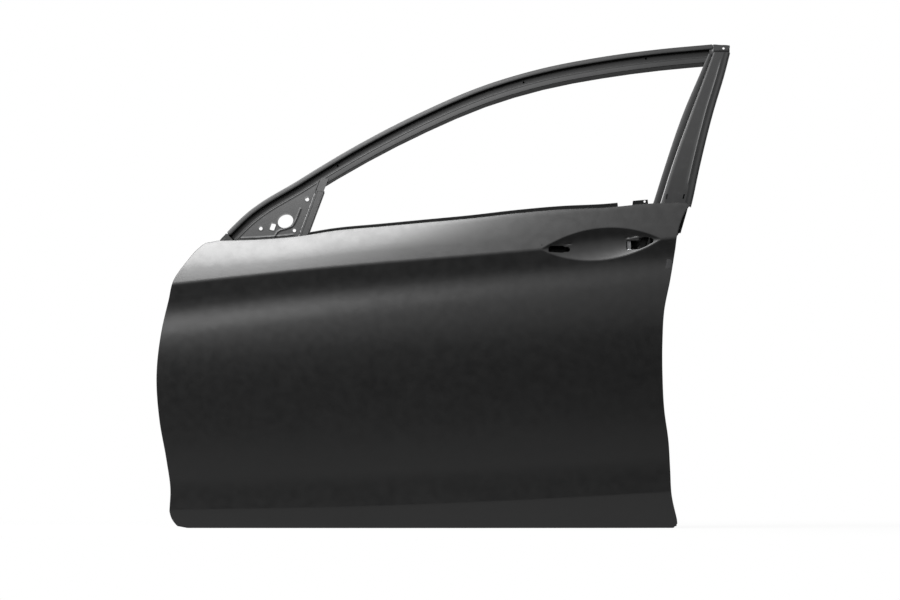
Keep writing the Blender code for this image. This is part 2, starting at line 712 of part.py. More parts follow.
hinge_holes = cutter_group("hinge_holes")
for side, height in (("lower", LOWER_HINGE_HEIGHT), ("upper", UPPER_HINGE_HEIGHT)):
    for n, dz in enumerate((-0.5, 0.5)):
        cutter_rod(f"{side}_hinge_hole_{n + 1}", (0, 0, height + dz * HINGE_BOLT_PITCH),
                   HINGE_BOLT_HOLE / 2, 12 * MM, "x", hinge_holes)
check_holes = cutter_group("check_arm_holes")
cutter_box("check_arm_mouth", (0, 4 * MM, CHECK_HEIGHT), (12 * MM, 20 * MM, 34 * MM), check_holes)
for n, dz in enumerate((-28 * MM, 28 * MM)):
    cutter_rod(f"check_arm_hole_{n + 1}", (0, 4 * MM, CHECK_HEIGHT + dz), 4.5 * MM, 12 * MM, "x", check_holes)
latch_holes = cutter_group("latch_holes")
cutter_box("latch_mouth", (LATCH_WALL_X, 0, LATCH_HEIGHT), (12 * MM, 34 * MM, 22 * MM), latch_holes)
for n, (y, z) in enumerate(mm([(28, 22), (-14, 28), (28, -24)])):
    cutter_rod(f"latch_hole_{n + 1}", (LATCH_WALL_X, y, LATCH_HEIGHT + z), 4 * MM, 12 * MM, "x", latch_holes)
panel_cuts = cutter_group("inner_panel_cuts")
cutter_rod("wiring_hole", (0, 6 * MM, 224 * MM), 17 * MM, 12 * MM, "x", panel_cuts, 16)
for n, x in enumerate((150 * MM, 540 * MM, 900 * MM)):
    cutter_box(f"drain_slot_{n + 1}", (x, 8 * MM, BOTTOM_WALL_HEIGHT), (28 * MM, 8 * MM, 8 * MM), panel_cuts)
for group in (hinge_holes, check_holes, latch_holes, panel_cuts):
    cut(inner_panel, group)

# Window frame.
header_path = []
for x in (83, 97, 125, 165, 211, 257, 323, 389, 455, 521, 587, 653, 719, 785, 851, 917, 983, 1049,
          1110, 1166):
    x *= MM
    d = 2 * MM
    along = Vector((2 * d, header_edge(x + d) - header_edge(x - d))).normalized()
    header_path.append((x, header_edge(x), along.y, -along.x))


def header_row(section, path):
    return [[glass_point(x + s * nx, z + s * nz, d) for s, d in section] for x, z, nx, nz in path]


EDGE = 0.5 * MM
LIP_FACE = 1.0 * MM
HAT_SEAT = 2.2 * MM
sash_section = [(EDGE, CHANNEL_DEPTH - EDGE), (EDGE, EDGE), (STRIP_WIDTH, EDGE),
                (STRIP_WIDTH + 1 * MM, CHANNEL_DEPTH), (CHANNEL_END - EDGE, CHANNEL_DEPTH),
                (CHANNEL_END + 1 * MM, LIP_FACE), (HEADER_WIDTH, LIP_FACE), (HEADER_WIDTH, 5 * LIP_FACE)]
hat_section = [(3 * MM, HAT_SEAT), (7.5 * MM, HAT_SEAT), (8.2 * MM, HEADER_DEPTH),
               (HEADER_WIDTH - 4.2 * MM, HEADER_DEPTH), (HEADER_WIDTH - 3.4 * MM, HAT_SEAT),
               (HEADER_WIDTH - 1.4 * MM, HAT_SEAT)]
upper_sash = sheet("upper_sash", *strip(header_row(sash_section, header_path[1:])), FRAME_SHEET,
                   primer("upper_sash", 1.15, 0.38))
header_inner = sheet("header_inner", *strip(header_row(hat_section, header_path)),
                     FRAME_INNER_SHEET, primer("header_inner", 0.95, 0.42))

corner_cut = cutter_group("header_corner_cut")
corner = bpy.data.meshes.new("pillar_clearance")
zs = [PILLAR_TOP - 108 * MM, PILLAR_TOP - 63 * MM, PILLAR_TOP - 28 * MM, PILLAR_TOP + 0.6 * MM]
left = [pillar_front(z) - 0.5 * MM for z in zs]
clear_loop = list(zip(left, zs)) + [(1240 * MM, zs[-1]), (1240 * MM, zs[0])]
front_ring = [glass_point(x, z, -20 * MM) for x, z in clear_loop]
back_ring = [glass_point(x, z, 60 * MM) for x, z in clear_loop]
n = len(front_ring)
corner.from_pydata(front_ring + back_ring, [],
                   [tuple(range(n)), tuple(range(2 * n - 1, n - 1, -1))]
                   + [((i + 1) % n, i, n + i, n + (i + 1) % n) for i in range(n)])
bm = bmesh.new()
bm.from_mesh(corner)
bmesh.ops.recalc_face_normals(bm, faces=bm.faces)
bm.to_mesh(corner)
bm.free()
as_cutter(bpy.data.objects.new("pillar_clearance", corner), "pillar_clearance", corner_cut)


def levels(lo, hi, step):
    n = max(1, round((hi - lo) / step))
    return [lerp(lo, hi, i / n) for i in range(n + 1)]


RUN_OUTER, RUN_INNER = 0.2 * MM, RUN_DEPTH


def run_rows(front, width, heights):
    """A glass run: a channel whose mouth faces forward, to the glass."""
    rows = []
    for z in heights:
        mouth, web = front(z), front(z) + width(z)
        rows.append([glass_point(mouth, z, RUN_OUTER), glass_point(web, z, RUN_OUTER),
                     glass_point(web, z, RUN_INNER), glass_point(mouth, z, RUN_INNER)])
    return rows


def rear_run_width(z):
    return pillar_gap(z) - pillar_front(z) - 0.3 * MM


rear_heights = levels(350 * MM, 720 * MM, 46 * MM) + levels(720 * MM, 1044 * MM, 47 * MM)[1:]
sheet("rear_glass_channel", *strip(run_rows(pillar_front, rear_run_width, rear_heights)),
      FRAME_SHEET, primer("rear_glass_channel", 0.9, 0.42))

COVER_FACE = 0.7 * MM
cover_heights = levels(721 * MM, PILLAR_TOP, 47 * MM)
rows = []
for z in cover_heights:
    a, b = pillar_gap(z) + 1.2 * MM, pillar_rear(z)
    rows.append([glass_point(a, z, 6 * MM), glass_point(a, z, COVER_FACE),
                 glass_point(lerp(a, b, 0.5), z, COVER_FACE), glass_point(b - 4 * MM, z, COVER_FACE),
                 glass_point(b, z, COVER_FACE + 1.5 * MM), glass_point(b, z, 8 * MM)])
sheet("pillar_cover", *strip(rows), FRAME_SHEET, primer("pillar_cover", 1.1, 0.40))

rows = []
for z in levels(648 * MM, 1040 * MM, 49 * MM):
    a = pillar_gap(z) + (4 if z > 725 * MM else 9.5) * MM
    b = min(pillar_rear(z) - 3 * MM, 1128 * MM + (z - 717 * MM) * 0.3)
    rows.append([glass_point(a - 0.5 * MM, z, HAT_SEAT), glass_point(a + 6 * MM, z, HAT_SEAT),
                 glass_point(a + 8 * MM, z, 24 * MM), glass_point(b - 9 * MM, z, 24 * MM),
                 glass_point(b - 7 * MM, z, HAT_SEAT), glass_point(b - 2.5 * MM, z, HAT_SEAT)])
sheet("pillar_inner", *strip(rows), FRAME_INNER_SHEET, primer("pillar_inner", 0.95, 0.42))
for obj in (upper_sash, header_inner):
    cut(obj, corner_cut)

# Corner bracket that joins the header to the pillar, with its own small hole.
BRACKET_CLEARANCE = 2.0 * MM
low = PILLAR_TOP + BRACKET_CLEARANCE
ahead, behind = pillar_gap(PILLAR_TOP) - 0.4 * MM, pillar_rear(low)
corner_loop = rounded([(ahead, low), (behind, low), (behind, low + 13 * MM), (ahead, low + 16 * MM)],
                      3 * MM, 2)
corner_hole = circle(behind - 14.5 * MM, low + 6.5 * MM, 2.6 * MM, 10)
flat, tris = triangulate(corner_loop, [corner_hole], [], [])
sheet("rear_corner_bracket", [glass_point(x, z, 0.6 * MM) for x, z in flat], tris,
      1.2 * MM, primer("rear_corner_bracket", 1.1, 0.40))

# Division bar: its outer face laps over the header, and its channel stops under it.
def below_header(s):
    return [(x + s * nx, z + s * nz) for x, z, nx, nz in header_path]


under = below_header(HEADER_WIDTH + 0.9 * MM)


def under_z(x):
    for a, b in zip(under, under[1:]):
        if a[0] <= x <= b[0]:
            return lerp(a[1], b[1], (x - a[0]) / (b[0] - a[0]))
    return under[-1][1]


BAR_WIDTH = 19.0 * MM
BAR_FACE = -0.4 * MM
bar_rows = []
bar_low = levels(392 * MM, 650 * MM, 52 * MM)
z_stop = 650 * MM
while z_stop + 1 * MM < under_z(bar_front(z_stop)) - 1 * MM:
    z_stop += 1 * MM
bar_heights = bar_low + levels(650 * MM, z_stop, 45 * MM)[1:]
for z in bar_heights:
    a, b = bar_front(z), bar_front(z) + BAR_WIDTH
    bar_rows.append([glass_point(b, z, BAR_FACE), glass_point(a, z, BAR_FACE),
                     glass_point(a, z, RUN_DEPTH), glass_point(b, z, RUN_DEPTH)])
points, faces = strip(bar_rows)
base = len(points)
for z in (z_stop, z_stop + 12 * MM):
    a, b = bar_front(z), bar_front(z) + BAR_WIDTH
    points += [glass_point(b, z, BAR_FACE), glass_point(a, z, BAR_FACE)]
faces.append((base, base + 1, base + 3, base + 2))
sheet("division_bar", points, faces, FRAME_SHEET, primer("division_bar", 1.15, 0.38))

# Mirror triangle, pressed from flat sheet, with the mirror's mounting holes.
SAIL_DEPTH = -0.1 * MM
sail_top = [(x + 31 * MM * nx, z + 31 * MM * nz) for x, z, nx, nz in header_path[1:]]
sail_top = [p for p in sail_top if p[0] < bar_front(p[1]) - 4 * MM]
bar_edge = [(bar_front(z) - 1.0 * MM, z) for z in (604 * MM, 640 * MM, 680 * MM, 720 * MM)]
last = bar_front(sail_top[-1][1] + 14 * MM) - 1.0 * MM
sail_loop = sail_top + [(last, sail_top[-1][1] + 14 * MM)] + bar_edge[::-1] + mm([(180, 600), (122, 606)])
sail_holes = [
    [(225.5 * MM + 17.5 * MM * math.cos(t) * 0.9 - 14 * MM * math.sin(t) * 0.44,
      673.6 * MM + 17.5 * MM * math.cos(t) * 0.44 + 14 * MM * math.sin(t) * 0.9)
     for t in [2 * math.pi * i / 20 for i in range(20)]],
    rounded(mm([(190, 655), (200, 653), (205, 667), (195, 669)]), 2 * MM, 2),
    circle(171 * MM, 657.6 * MM, 4 * MM, 12),
    circle(273 * MM, 721.8 * MM, 4.4 * MM, 12),
    circle(245 * MM, 653.2 * MM, 3.7 * MM, 12),
]
sail_inner_nodes = mm([(160, 640), (200, 635), (240, 635), (210, 700), (250, 700), (230, 720), (150, 620),
                       (200, 620), (235, 620), (180, 680), (262, 690)])
flat, tris = triangulate(sail_loop, sail_holes, [], sail_inner_nodes)
sheet("mirror_panel", [glass_point(x, z, SAIL_DEPTH) for x, z in flat], tris,
      FRAME_SHEET, primer("mirror_panel", 1.1, 0.40))

# Gusset at the foot of the header.
gusset_loop = mm([(70, 619), (80.5, 631.5), (94.5, 647), (118, 625), (108, 608)])
flat, tris = triangulate(gusset_loop, [], [], [])
sheet("front_foot_gusset", [glass_point(max(x, 60 * MM), z, SAIL_DEPTH) for x, z in flat], tris,
      FRAME_SHEET, primer("front_foot_gusset", 0.7, 0.45))

# Belt reinforcements.
def upstand(x):
    if 279 * MM <= x <= 955.5 * MM:
        return lerp(6.5, 9.0, (x / MM - 279) / 676) * MM
    if 990 * MM <= x <= 1022 * MM:
        return 9.5 * MM
    return -2.0 * MM


outer_belt_x = sorted([x for x in belt_stations if 90 * MM < x < 1030 * MM]
                      + [x * MM for x in (277.5, 955.5, 988.8, 990, 1022, 1023.2)])
belt_face = 3.2 * MM + SKIN_SHEET / 2 + WELD_GAP + BELT_SHEET / 2
rows = []
for x in outer_belt_x:
    y, z = skin_y(x, belt_line(x)), belt_line(x)
    rows.append([(x, y + belt_face, z + upstand(x)), (x, y + belt_face, z - 8 * MM),
                 (x, y - 4 * MM, z - 26 * MM), (x, y - 4 * MM, z - 50 * MM),
                 (x, skin_y(x, z - 56 * MM) + 6 * MM, z - 60 * MM)])
outer_belt = sheet("outer_belt_reinforcement", *strip(rows), BELT_SHEET,
                   primer("outer_belt_reinforcement", 0.75, 0.44))
tab_cut = cutter_group("belt_tab_hole")
cutter_rod("belt_tab_hole_1", (1015.5 * MM, belt_y(1015 * MM) + belt_face, 717.2 * MM), 2.4 * MM, 12 * MM,
           "y", tab_cut)
cut(outer_belt, tab_cut)

seat = INNER_FACE_Y - INNER_SHEET / 2 - WELD_GAP - BELT_SHEET / 2
rows = []
for x in belt_stations:
    if not 212 * MM < x < 1015 * MM:
        continue
    z = belt_line(x)
    rows.append([(x, seat, z - 4 * MM), (x, seat, z - 12 * MM), (x, 32 * MM, z - 15 * MM),
                 (x, 30 * MM, z - 46 * MM), (x, seat, z - 50 * MM), (x, seat, z - 60 * MM)])
sheet("inner_belt_reinforcement", *strip(rows), BELT_SHEET,
      primer("inner_belt_reinforcement", 0.85, 0.44))

# Hinge, check arm and latch reinforcements, with their weld nuts.
def plate(name, x, y, z, width, height, shade):
    bpy.ops.mesh.primitive_cube_add(size=1.0, location=(x, y, z))
    obj = bpy.context.object
    obj.name = name
    obj.scale = (PLATE, width, height)
    bpy.ops.object.transform_apply(location=False, rotation=False, scale=True)
    to_door(obj, primer(name, shade, 0.45))
    return obj


WALL_SEAT = INNER_SHEET / 2 + WELD_GAP + PLATE / 2
NUT_SEAT = INNER_SHEET / 2 + WELD_GAP + PLATE + WELD_GAP + NUT_HEIGHT / 2


def weld_nut(name, x, y, z):
    bpy.ops.mesh.primitive_cylinder_add(vertices=6, radius=NUT_RADIUS, depth=NUT_HEIGHT,
                                        location=(x, y, z), rotation=(0, math.pi / 2, 0))
    obj = bpy.context.object
    obj.name = name
    to_door(obj, material(name + "_steel", (0.08, 0.08, 0.085), 0.4, 0.6))
    group = cutter_group(name + "_thread")
    cutter_rod(name + "_bore", (x, y, z), 4 * MM, 3 * NUT_HEIGHT, "x", group)
    return cut(obj, group)


for side, height in (("lower", LOWER_HINGE_HEIGHT), ("upper", UPPER_HINGE_HEIGHT)):
    hinge_plate = plate(f"{side}_hinge_reinforcement", HINGE_WALL_X + WALL_SEAT, 0, height,
                        HINGE_PLATE_WIDTH, HINGE_PLATE_HEIGHT, 0.85)
    cut(hinge_plate, hinge_holes)
    for n, dz in enumerate((-0.5, 0.5)):
        weld_nut(f"{side}_hinge_nut_{n + 1}", HINGE_WALL_X + NUT_SEAT, 0, height + dz * HINGE_BOLT_PITCH)
check_plate = plate("check_arm_reinforcement", HINGE_WALL_X + WALL_SEAT, 4 * MM, CHECK_HEIGHT,
                    44 * MM, 78 * MM, 0.85)
cut(check_plate, check_holes)
latch_plate = plate("latch_reinforcement", LATCH_WALL_X - WALL_SEAT, 6 * MM, LATCH_HEIGHT,
                    70 * MM, 92 * MM, 0.85)
cut(latch_plate, latch_holes)

# Impact beam.
def beam_z(x):
    return lerp(BEAM_FRONT[1], BEAM_REAR[1], (x - BEAM_FRONT[0]) / (BEAM_REAR[0] - BEAM_FRONT[0]))


beam_y = max(skin_y(x, beam_z(x) + BEAM_RADIUS) for x in
             (lerp(BEAM_FRONT[0], BEAM_REAR[0], t / 12) for t in range(13)))
beam_y += SKIN_SHEET / 2 + BEAM_SKIN_GAP + BEAM_RADIUS
a = Vector((BEAM_FRONT[0], beam_y, BEAM_FRONT[1]))
b = Vector((BEAM_REAR[0], beam_y, BEAM_REAR[1]))
bpy.ops.mesh.primitive_cylinder_add(vertices=20, radius=BEAM_RADIUS - BEAM_WALL / 2, depth=(b - a).length,
                                    end_fill_type="NOTHING", location=(a + b) / 2,
                                    rotation=(b - a).to_track_quat("Z", "Y").to_euler())
beam = bpy.context.object
beam.name = "impact_beam"
to_door(beam, primer("impact_beam", 0.8, 0.42))
wall = beam.modifiers.new("wall", "SOLIDIFY")
wall.thickness = BEAM_WALL
wall.offset = 0.0
beam.data.shade_smooth()

BRACKET_SHEET = 1.6 * MM
bracket_y = beam_y + BEAM_RADIUS + WELD_GAP + BRACKET_SHEET / 2
wall_x = INNER_SHEET / 2 + WELD_GAP + BRACKET_SHEET / 2


def beam_bracket(name, x_wall, x_end, z_mid):
    bend = 4 * MM if x_end > x_wall else -4 * MM
    rows = []
    for z in (z_mid - 27 * MM, z_mid + 27 * MM):
        rows.append([(x_end, bracket_y, z), (x_wall + bend, bracket_y, z),
                     (x_wall, bracket_y + 4 * MM, z), (x_wall, bracket_y + 34 * MM, z)])
    return sheet(name, *strip(rows), BRACKET_SHEET, primer(name, 0.85, 0.44))


beam_bracket("beam_bracket_front", HINGE_WALL_X + wall_x, 118 * MM, beam_z(66 * MM))
beam_bracket("beam_bracket_rear", LATCH_WALL_X - wall_x, 918 * MM, beam_z(964 * MM))

# Mastic pads between the beam and the skin.
for n, x in enumerate((330 * MM, 520 * MM, 710 * MM)):
    z = beam_z(x)
    near = max(skin_y(x + dx, z + dz) for dx in (-18 * MM, 0, 18 * MM) for dz in (-8 * MM, 0, 8 * MM))
    lo, hi = near + SKIN_SHEET / 2 + 0.5 * MM, beam_y - BEAM_RADIUS - 0.4 * MM
    bpy.ops.mesh.primitive_cube_add(size=1.0, location=(x, (lo + hi) / 2, z))
    pad = bpy.context.object
    pad.name = f"anti_flutter_pad_{n + 1}"
    pad.scale = (36 * MM, hi - lo, 16 * MM)
    bpy.ops.object.transform_apply(location=False, rotation=False, scale=True)
    to_door(pad, material(pad.name + "_mastic", (0.02, 0.02, 0.02), 0.85, 0.0))

# Handle reinforcement, pressed to the skin behind the recess.
HANDLE_SHEET = 1.2 * MM
behind_recess = {i for i, (x, z) in enumerate(skin_plain)
                 if 772 * MM < x < 1066 * MM and 570 * MM < z < 672 * MM}
patch = [f for f in skin_faces if behind_recess.issuperset(f)]
used = sorted({i for f in patch for i in f})
vertex_normal = {i: Vector((0, 0, 0)) for i in used}
for f in skin_faces:
    c = [Vector((skin_plain[i][0], skin_y(*skin_plain[i]), skin_plain[i][1])) for i in f]
    n = (c[1] - c[0]).cross(c[2] - c[0])
    n = n if n.y > 0 else -n
    for i in f:
        if i in vertex_normal:
            vertex_normal[i] += n
offset = SKIN_SHEET / 2 + WELD_GAP + HANDLE_SHEET / 2 + 0.15 * MM
points = []
for i in used:
    x, z = skin_plain[i]
    p = Vector((x, skin_y(x, z), z)) + vertex_normal[i].normalized() * offset
    points.append(tuple(p))
where = {i: k for k, i in enumerate(used)}
sheet("handle_reinforcement", points, [tuple(where[i] for i in f) for f in patch],
      HANDLE_SHEET, primer("handle_reinforcement", 0.8, 0.44))

# Small bracket that shows through the rear handle opening.
BRACKET_STEP = 3.5 * MM
rows = []
for x in (977 * MM, 985 * MM):
    back = skin_y(x, 611 * MM) + 9 * MM
    rows.append([(x, skin_y(x, 599 * MM) + BRACKET_STEP, 599 * MM),
                 (x, skin_y(x, 606 * MM) + BRACKET_STEP, 606 * MM), (x, back, 612 * MM), (x, back, 630 * MM)])
sheet("lock_bracket", *strip(rows), FRAME_SHEET,
      material("lock_bracket_steel", (0.30, 0.30, 0.31), 0.4, 0.6))
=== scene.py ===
# %% [markdown]
# # A sedan's front door shell in dark primer
#
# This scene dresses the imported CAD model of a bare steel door. The CAD gives every size. Here the
# sheets that the eye meets are pressed again with fine folds, beads and holes, and each surface gets
# a primer made from nodes. X runs rearward, Y inboard and Z up, in metres.

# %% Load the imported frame
import bpy
import math
from functools import lru_cache
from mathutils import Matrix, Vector
from mathutils.geometry import delaunay_2d_cdt


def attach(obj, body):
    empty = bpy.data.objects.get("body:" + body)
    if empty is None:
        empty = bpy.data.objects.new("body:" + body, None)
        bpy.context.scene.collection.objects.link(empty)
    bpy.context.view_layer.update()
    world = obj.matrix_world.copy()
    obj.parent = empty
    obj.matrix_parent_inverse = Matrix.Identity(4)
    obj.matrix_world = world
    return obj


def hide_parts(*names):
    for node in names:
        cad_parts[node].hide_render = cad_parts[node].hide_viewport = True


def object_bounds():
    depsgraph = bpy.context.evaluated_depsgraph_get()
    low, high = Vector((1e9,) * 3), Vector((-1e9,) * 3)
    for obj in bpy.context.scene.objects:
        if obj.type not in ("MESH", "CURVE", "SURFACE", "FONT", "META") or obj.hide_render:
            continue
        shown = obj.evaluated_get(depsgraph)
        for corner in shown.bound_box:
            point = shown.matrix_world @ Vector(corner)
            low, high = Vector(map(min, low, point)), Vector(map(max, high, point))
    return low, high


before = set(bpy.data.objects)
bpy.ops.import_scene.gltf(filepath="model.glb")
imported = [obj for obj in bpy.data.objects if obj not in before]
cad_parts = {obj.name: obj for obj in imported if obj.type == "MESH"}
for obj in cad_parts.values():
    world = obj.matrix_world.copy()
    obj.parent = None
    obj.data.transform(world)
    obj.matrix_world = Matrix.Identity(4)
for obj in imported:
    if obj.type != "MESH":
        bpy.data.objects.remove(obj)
cad_low, cad_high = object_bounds()
print("CAD box", [round(v, 4) for v in cad_low], [round(v, 4) for v in cad_high])

# %% [markdown]
# ## The door's own lines
#
# A press shop draws a door from a few long curves: the shut lines front and rear, the belt, the
# character line, and the lower crease. The same curves as in the CAD come first, because every piece
# below hangs on them. Heights are above the door's bottom edge, which is `DATUM` below the origin.

# %% A smooth curve through points
MM = 0.001
DATUM = 145.0 * MM


def lerp(a, b, t):
    return a + (b - a) * t


def ramp(t):
    """From 0 to 1 with a soft start and end."""
    t = min(max(t, 0.0), 1.0)
    return t * t * (3 - 2 * t)


def mm(points):
    """Points given in millimetres, in metres."""
    return [tuple(v * MM for v in p) for p in points]


def place(x, y, z):
    """A point given by its height above the bottom edge, in the frame's own axes."""
    return (x, y, z - DATUM)


def curve(points):
    """A smooth curve through the points, as a function of their first value."""
    pts = mm(points)
    xs = [p[0] for p in pts]
    ys = [p[1] for p in pts]
    sec = [(ys[i + 1] - ys[i]) / (xs[i + 1] - xs[i]) for i in range(len(xs) - 1)]
    slope = [sec[0]]
    for i in range(1, len(xs) - 1):
        a, b = xs[i] - xs[i - 1], xs[i + 1] - xs[i]
        slope.append((sec[i - 1] * b + sec[i] * a) / (a + b))
    slope.append(sec[-1])

    def at(x):
        if x <= xs[0]:
            return ys[0] + slope[0] * (x - xs[0])
        if x >= xs[-1]:
            return ys[-1] + slope[-1] * (x - xs[-1])
        i = 0
        while x > xs[i + 1]:
            i += 1
        w = xs[i + 1] - xs[i]
        t = (x - xs[i]) / w
        return (ys[i] * (1 + 2 * t) * (1 - t) ** 2 + ys[i + 1] * t * t * (3 - 2 * t)
                + slope[i] * w * t * (1 - t) ** 2 - slope[i + 1] * w * t * t * (1 - t))
    return at


print("bottom edge below the origin, mm", DATUM / MM)

# %% The outline and the creases, in millimetres
front_edge = curve([(40, -28.5), (82, -26.5), (148, -35), (236, -50.5), (335, -57), (434, -46),
                    (500, -31), (544, -20), (588, 11), (606, 26), (624, 46)])
rear_edge = curve([(8, 1088.5), (73, 1074), (126, 1071), (192, 1067), (258, 1058), (335, 1054),
                   (412, 1054), (478, 1058), (544, 1071), (610, 1082), (654, 1089), (698, 1107),
                   (714, 1120)])
belt_line = curve([(79, 630), (169, 632.5), (257, 640), (334, 652), (433, 661), (532, 670),
                   (631, 679), (730, 690), (829, 698.5), (928, 703), (1027, 712), (1120, 714)])
character_line = curve([(-24, 535), (264, 566), (686, 602.8), (1080, 637)])
lower_crease = curve([(-28, 40), (389, 48), (700, 60), (1074, 80)])
shoulder_tilt = curve([(-60, 35), (389, 34), (650, 25), (900, 21), (1120, 20)])
header_edge = curve([(50, 590), (79, 630), (125, 679), (257, 767), (389, 846), (521, 914),
                     (653, 971), (785, 1011), (917, 1037), (1049, 1055), (1166, 1066)])
pillar_front = curve([(340, 899), (720, 1037), (786, 1058), (918, 1104), (1006, 1142), (1048, 1160)])
pillar_gap = curve([(340, 915), (724, 1053), (776, 1069), (1037, 1164), (1048, 1168)])
pillar_rear = curve([(640, 1098), (717, 1120), (786, 1135), (918, 1168), (1006, 1194.5), (1050, 1206)])
bar_front = curve([(330, 137), (650, 258.5), (784, 308)])

BELT_START = 79 * MM
BELT_END = 1104 * MM
print("belt height front and rear, mm", [round(belt_line(x) / MM) for x in (BELT_START, BELT_END)])

# %% [markdown]
# ## The skin as a surface
#
# Seen end on, the skin is three runs parted by two creases. Each run is a list of heights and tilts,
# so the surface comes from adding up tilts, much as a stylist reads highlights off a panel.

# %% The skin with sharp creases
CREASE_Y = -50.0 * MM
PLAN_RADIUS = 8.0
PLAN_CENTRE_X = 480.0 * MM
SHOULDER_FOOT_TILT = 19.5
BODY_TOP_TILT = 2.0
BODY_FOOT_TILT = 5.0
UNDER_TOP_TILT = -6.0


def steepness(degrees):
    return math.tan(math.radians(degrees))


@lru_cache(maxsize=None)
def skin_profile(x):
    """Heights of lower crease, character line and belt, and the three runs of heights and tilts."""
    low, mid, top = lower_crease(x), character_line(x), belt_line(max(x, BELT_START))
    body = mid - low
    along = min(max((x + 57 * MM) / (1177 * MM), 0.0), 1.0)
    hollow = lerp(1.0, 0.8, along) * MM
    full = lerp(17.0, 15.0, along)
    end = shoulder_tilt(x) / MM
    runs = (
        [(-20 * MM, -14.0), (0.0, -12.0), (low, UNDER_TOP_TILT)],
        [(low, BODY_FOOT_TILT), (low + 0.05 * body, 3.0), (low + 0.10 * body, 0.0),
         (low + 0.14 * body, -3.5), (low + 0.24 * body, -3.0), (low + 0.34 * body, -1.0),
         (low + 0.44 * body, 0.0), (low + 0.54 * body, 2.0), (low + 0.64 * body, 5.0),
         (low + 0.70 * body, 8.0), (mid - 121 * hollow, 12.0), (mid - 103 * hollow, full - 1.0),
         (mid - 85 * hollow, full), (mid - 68 * hollow, full - 3.0), (mid - 50 * hollow, 6.0),
         (mid - 33 * hollow, 2.5), (mid, BODY_TOP_TILT)],
        [(mid, SHOULDER_FOOT_TILT), (lerp(mid, top, 0.33), lerp(SHOULDER_FOOT_TILT, end, 0.15)),
         (lerp(mid, top, 0.67), lerp(SHOULDER_FOOT_TILT, end, 0.62)), (top, end), (top + 40 * MM, end)],
    )
    return low, mid, top, runs


def climb(run, a, b):
    """How far the surface moves inboard from height a up to height b along one run."""
    if b < a:
        return -climb(run, b, a)
    total = 0.0
    for (z0, t0), (z1, t1) in zip(run, run[1:]):
        lo, hi = max(a, z0), min(b, z1)
        if hi > lo:
            total += (hi - lo) * lerp(steepness(t0), steepness(t1), (0.5 * (lo + hi) - z0) / (z1 - z0))
    return total


def plain_skin_y(x, z):
    low, mid, _, (under, body, shoulder) = skin_profile(x)
    y = CREASE_Y + (x - PLAN_CENTRE_X) ** 2 / (2 * PLAN_RADIUS)
    if z >= mid:
        return y + climb(shoulder, mid, z)
    y -= climb(body, max(z, low), mid)
    if z < low:
        y -= climb(under, z, low)
    return y


def belt_y(x):
    return plain_skin_y(x, belt_line(x))


print("shoulder leans in over its height, mm", round((belt_y(PLAN_CENTRE_X) - CREASE_Y) / MM, 1))

# %% [markdown]
# ## Soft creases and the handle recess
#
# The CAD keeps its creases sharp. Here each gets the few millimetres of radius that a die really
# leaves. The recess is a shallow dish let into the character line, so a hand can reach behind the
# handle, and its rim is rounded by blending the two surfaces over a narrow band.

# %% The skin as it is seen
CREASE_RADIUS = 4.0 * MM
LOW_CREASE_RADIUS = 3.0 * MM
RECESS_FRONT = 788.0 * MM
RECESS_REAR = 1052.0 * MM
RECESS_HALF_HEIGHT = 35.0 * MM
RECESS_DEPTH = 6.0 * MM
RIM_ROUND = 0.7 * MM
GROOVE_REACH = 40 * MM
GROOVES = [(mm([(842, 623), (853, 623.6)]), 2.6 * MM, 0.9 * MM),
           (mm([(976, 637), (1000, 641)]), 2.8 * MM, 1.0 * MM)]


def soft_step(b, radius):
    """What rounding a kink at b = 0 adds, for a kink of slope one."""
    return (b + radius) ** 2 / (4 * radius) - max(b, 0.0) if abs(b) < radius else 0.0


def recess_half(x):
    """Half the height of the recess, whose two rims are arcs."""
    middle = 0.5 * (RECESS_FRONT + RECESS_REAR)
    half = 0.5 * (RECESS_REAR - RECESS_FRONT)
    a = x - middle
    if abs(a) >= half:
        return 0.0
    radius = (half ** 2 + RECESS_HALF_HEIGHT ** 2) / (2 * RECESS_HALF_HEIGHT)
    return math.sqrt(radius ** 2 - a * a) - (radius - RECESS_HALF_HEIGHT)


def path_away(p, line):
    """How far the point lies from the open line, up to one metre."""
    best = 1.0
    for a, b in zip(line, line[1:]):
        d = (b[0] - a[0], b[1] - a[1])
        k = ((p[0] - a[0]) * d[0] + (p[1] - a[1]) * d[1]) / max(d[0] ** 2 + d[1] ** 2, 1e-12)
        k = min(max(k, 0.0), 1.0)
        best = min(best, math.hypot(p[0] - a[0] - k * d[0], p[1] - a[1] - k * d[1]))
    return best


def skin_y(x, z):
    """Middle of the outer sheet, with rounded creases and the dished handle recess."""
    low, mid, _, _ = skin_profile(x)
    y = plain_skin_y(x, z)
    b = z - mid
    h = recess_half(x)
    kink = (steepness(SHOULDER_FOOT_TILT) - steepness(BODY_TOP_TILT)) * soft_step(b, CREASE_RADIUS)
    low_kink = (steepness(BODY_FOOT_TILT) - steepness(UNDER_TOP_TILT)) * soft_step(z - low, LOW_CREASE_RADIUS)
    if h < 0.3 * MM or abs(b) > 1.6 * h + 4 * MM:
        return y + kink + low_kink
    t = (b + h) / (2 * h)
    rim = lerp(plain_skin_y(x, mid - h), plain_skin_y(x, mid + h), t)
    deep = rim + RECESS_DEPTH * (h / RECESS_HALF_HEIGHT) * 4 * t * (1 - t) - y
    if deep <= -RIM_ROUND:
        return y + kink
    sunk = deep if deep >= RIM_ROUND else (deep + RIM_ROUND) ** 2 / (4 * RIM_ROUND)
    keep = min(max((RIM_ROUND - deep) / (2 * RIM_ROUND), 0.0), 1.0)
    for line, width, depth in GROOVES:
        if abs(x - line[0][0]) < GROOVE_REACH:
            sunk += depth * ramp(1.0 - path_away((x, z), line) / width)
    return y + keep * kink + sunk


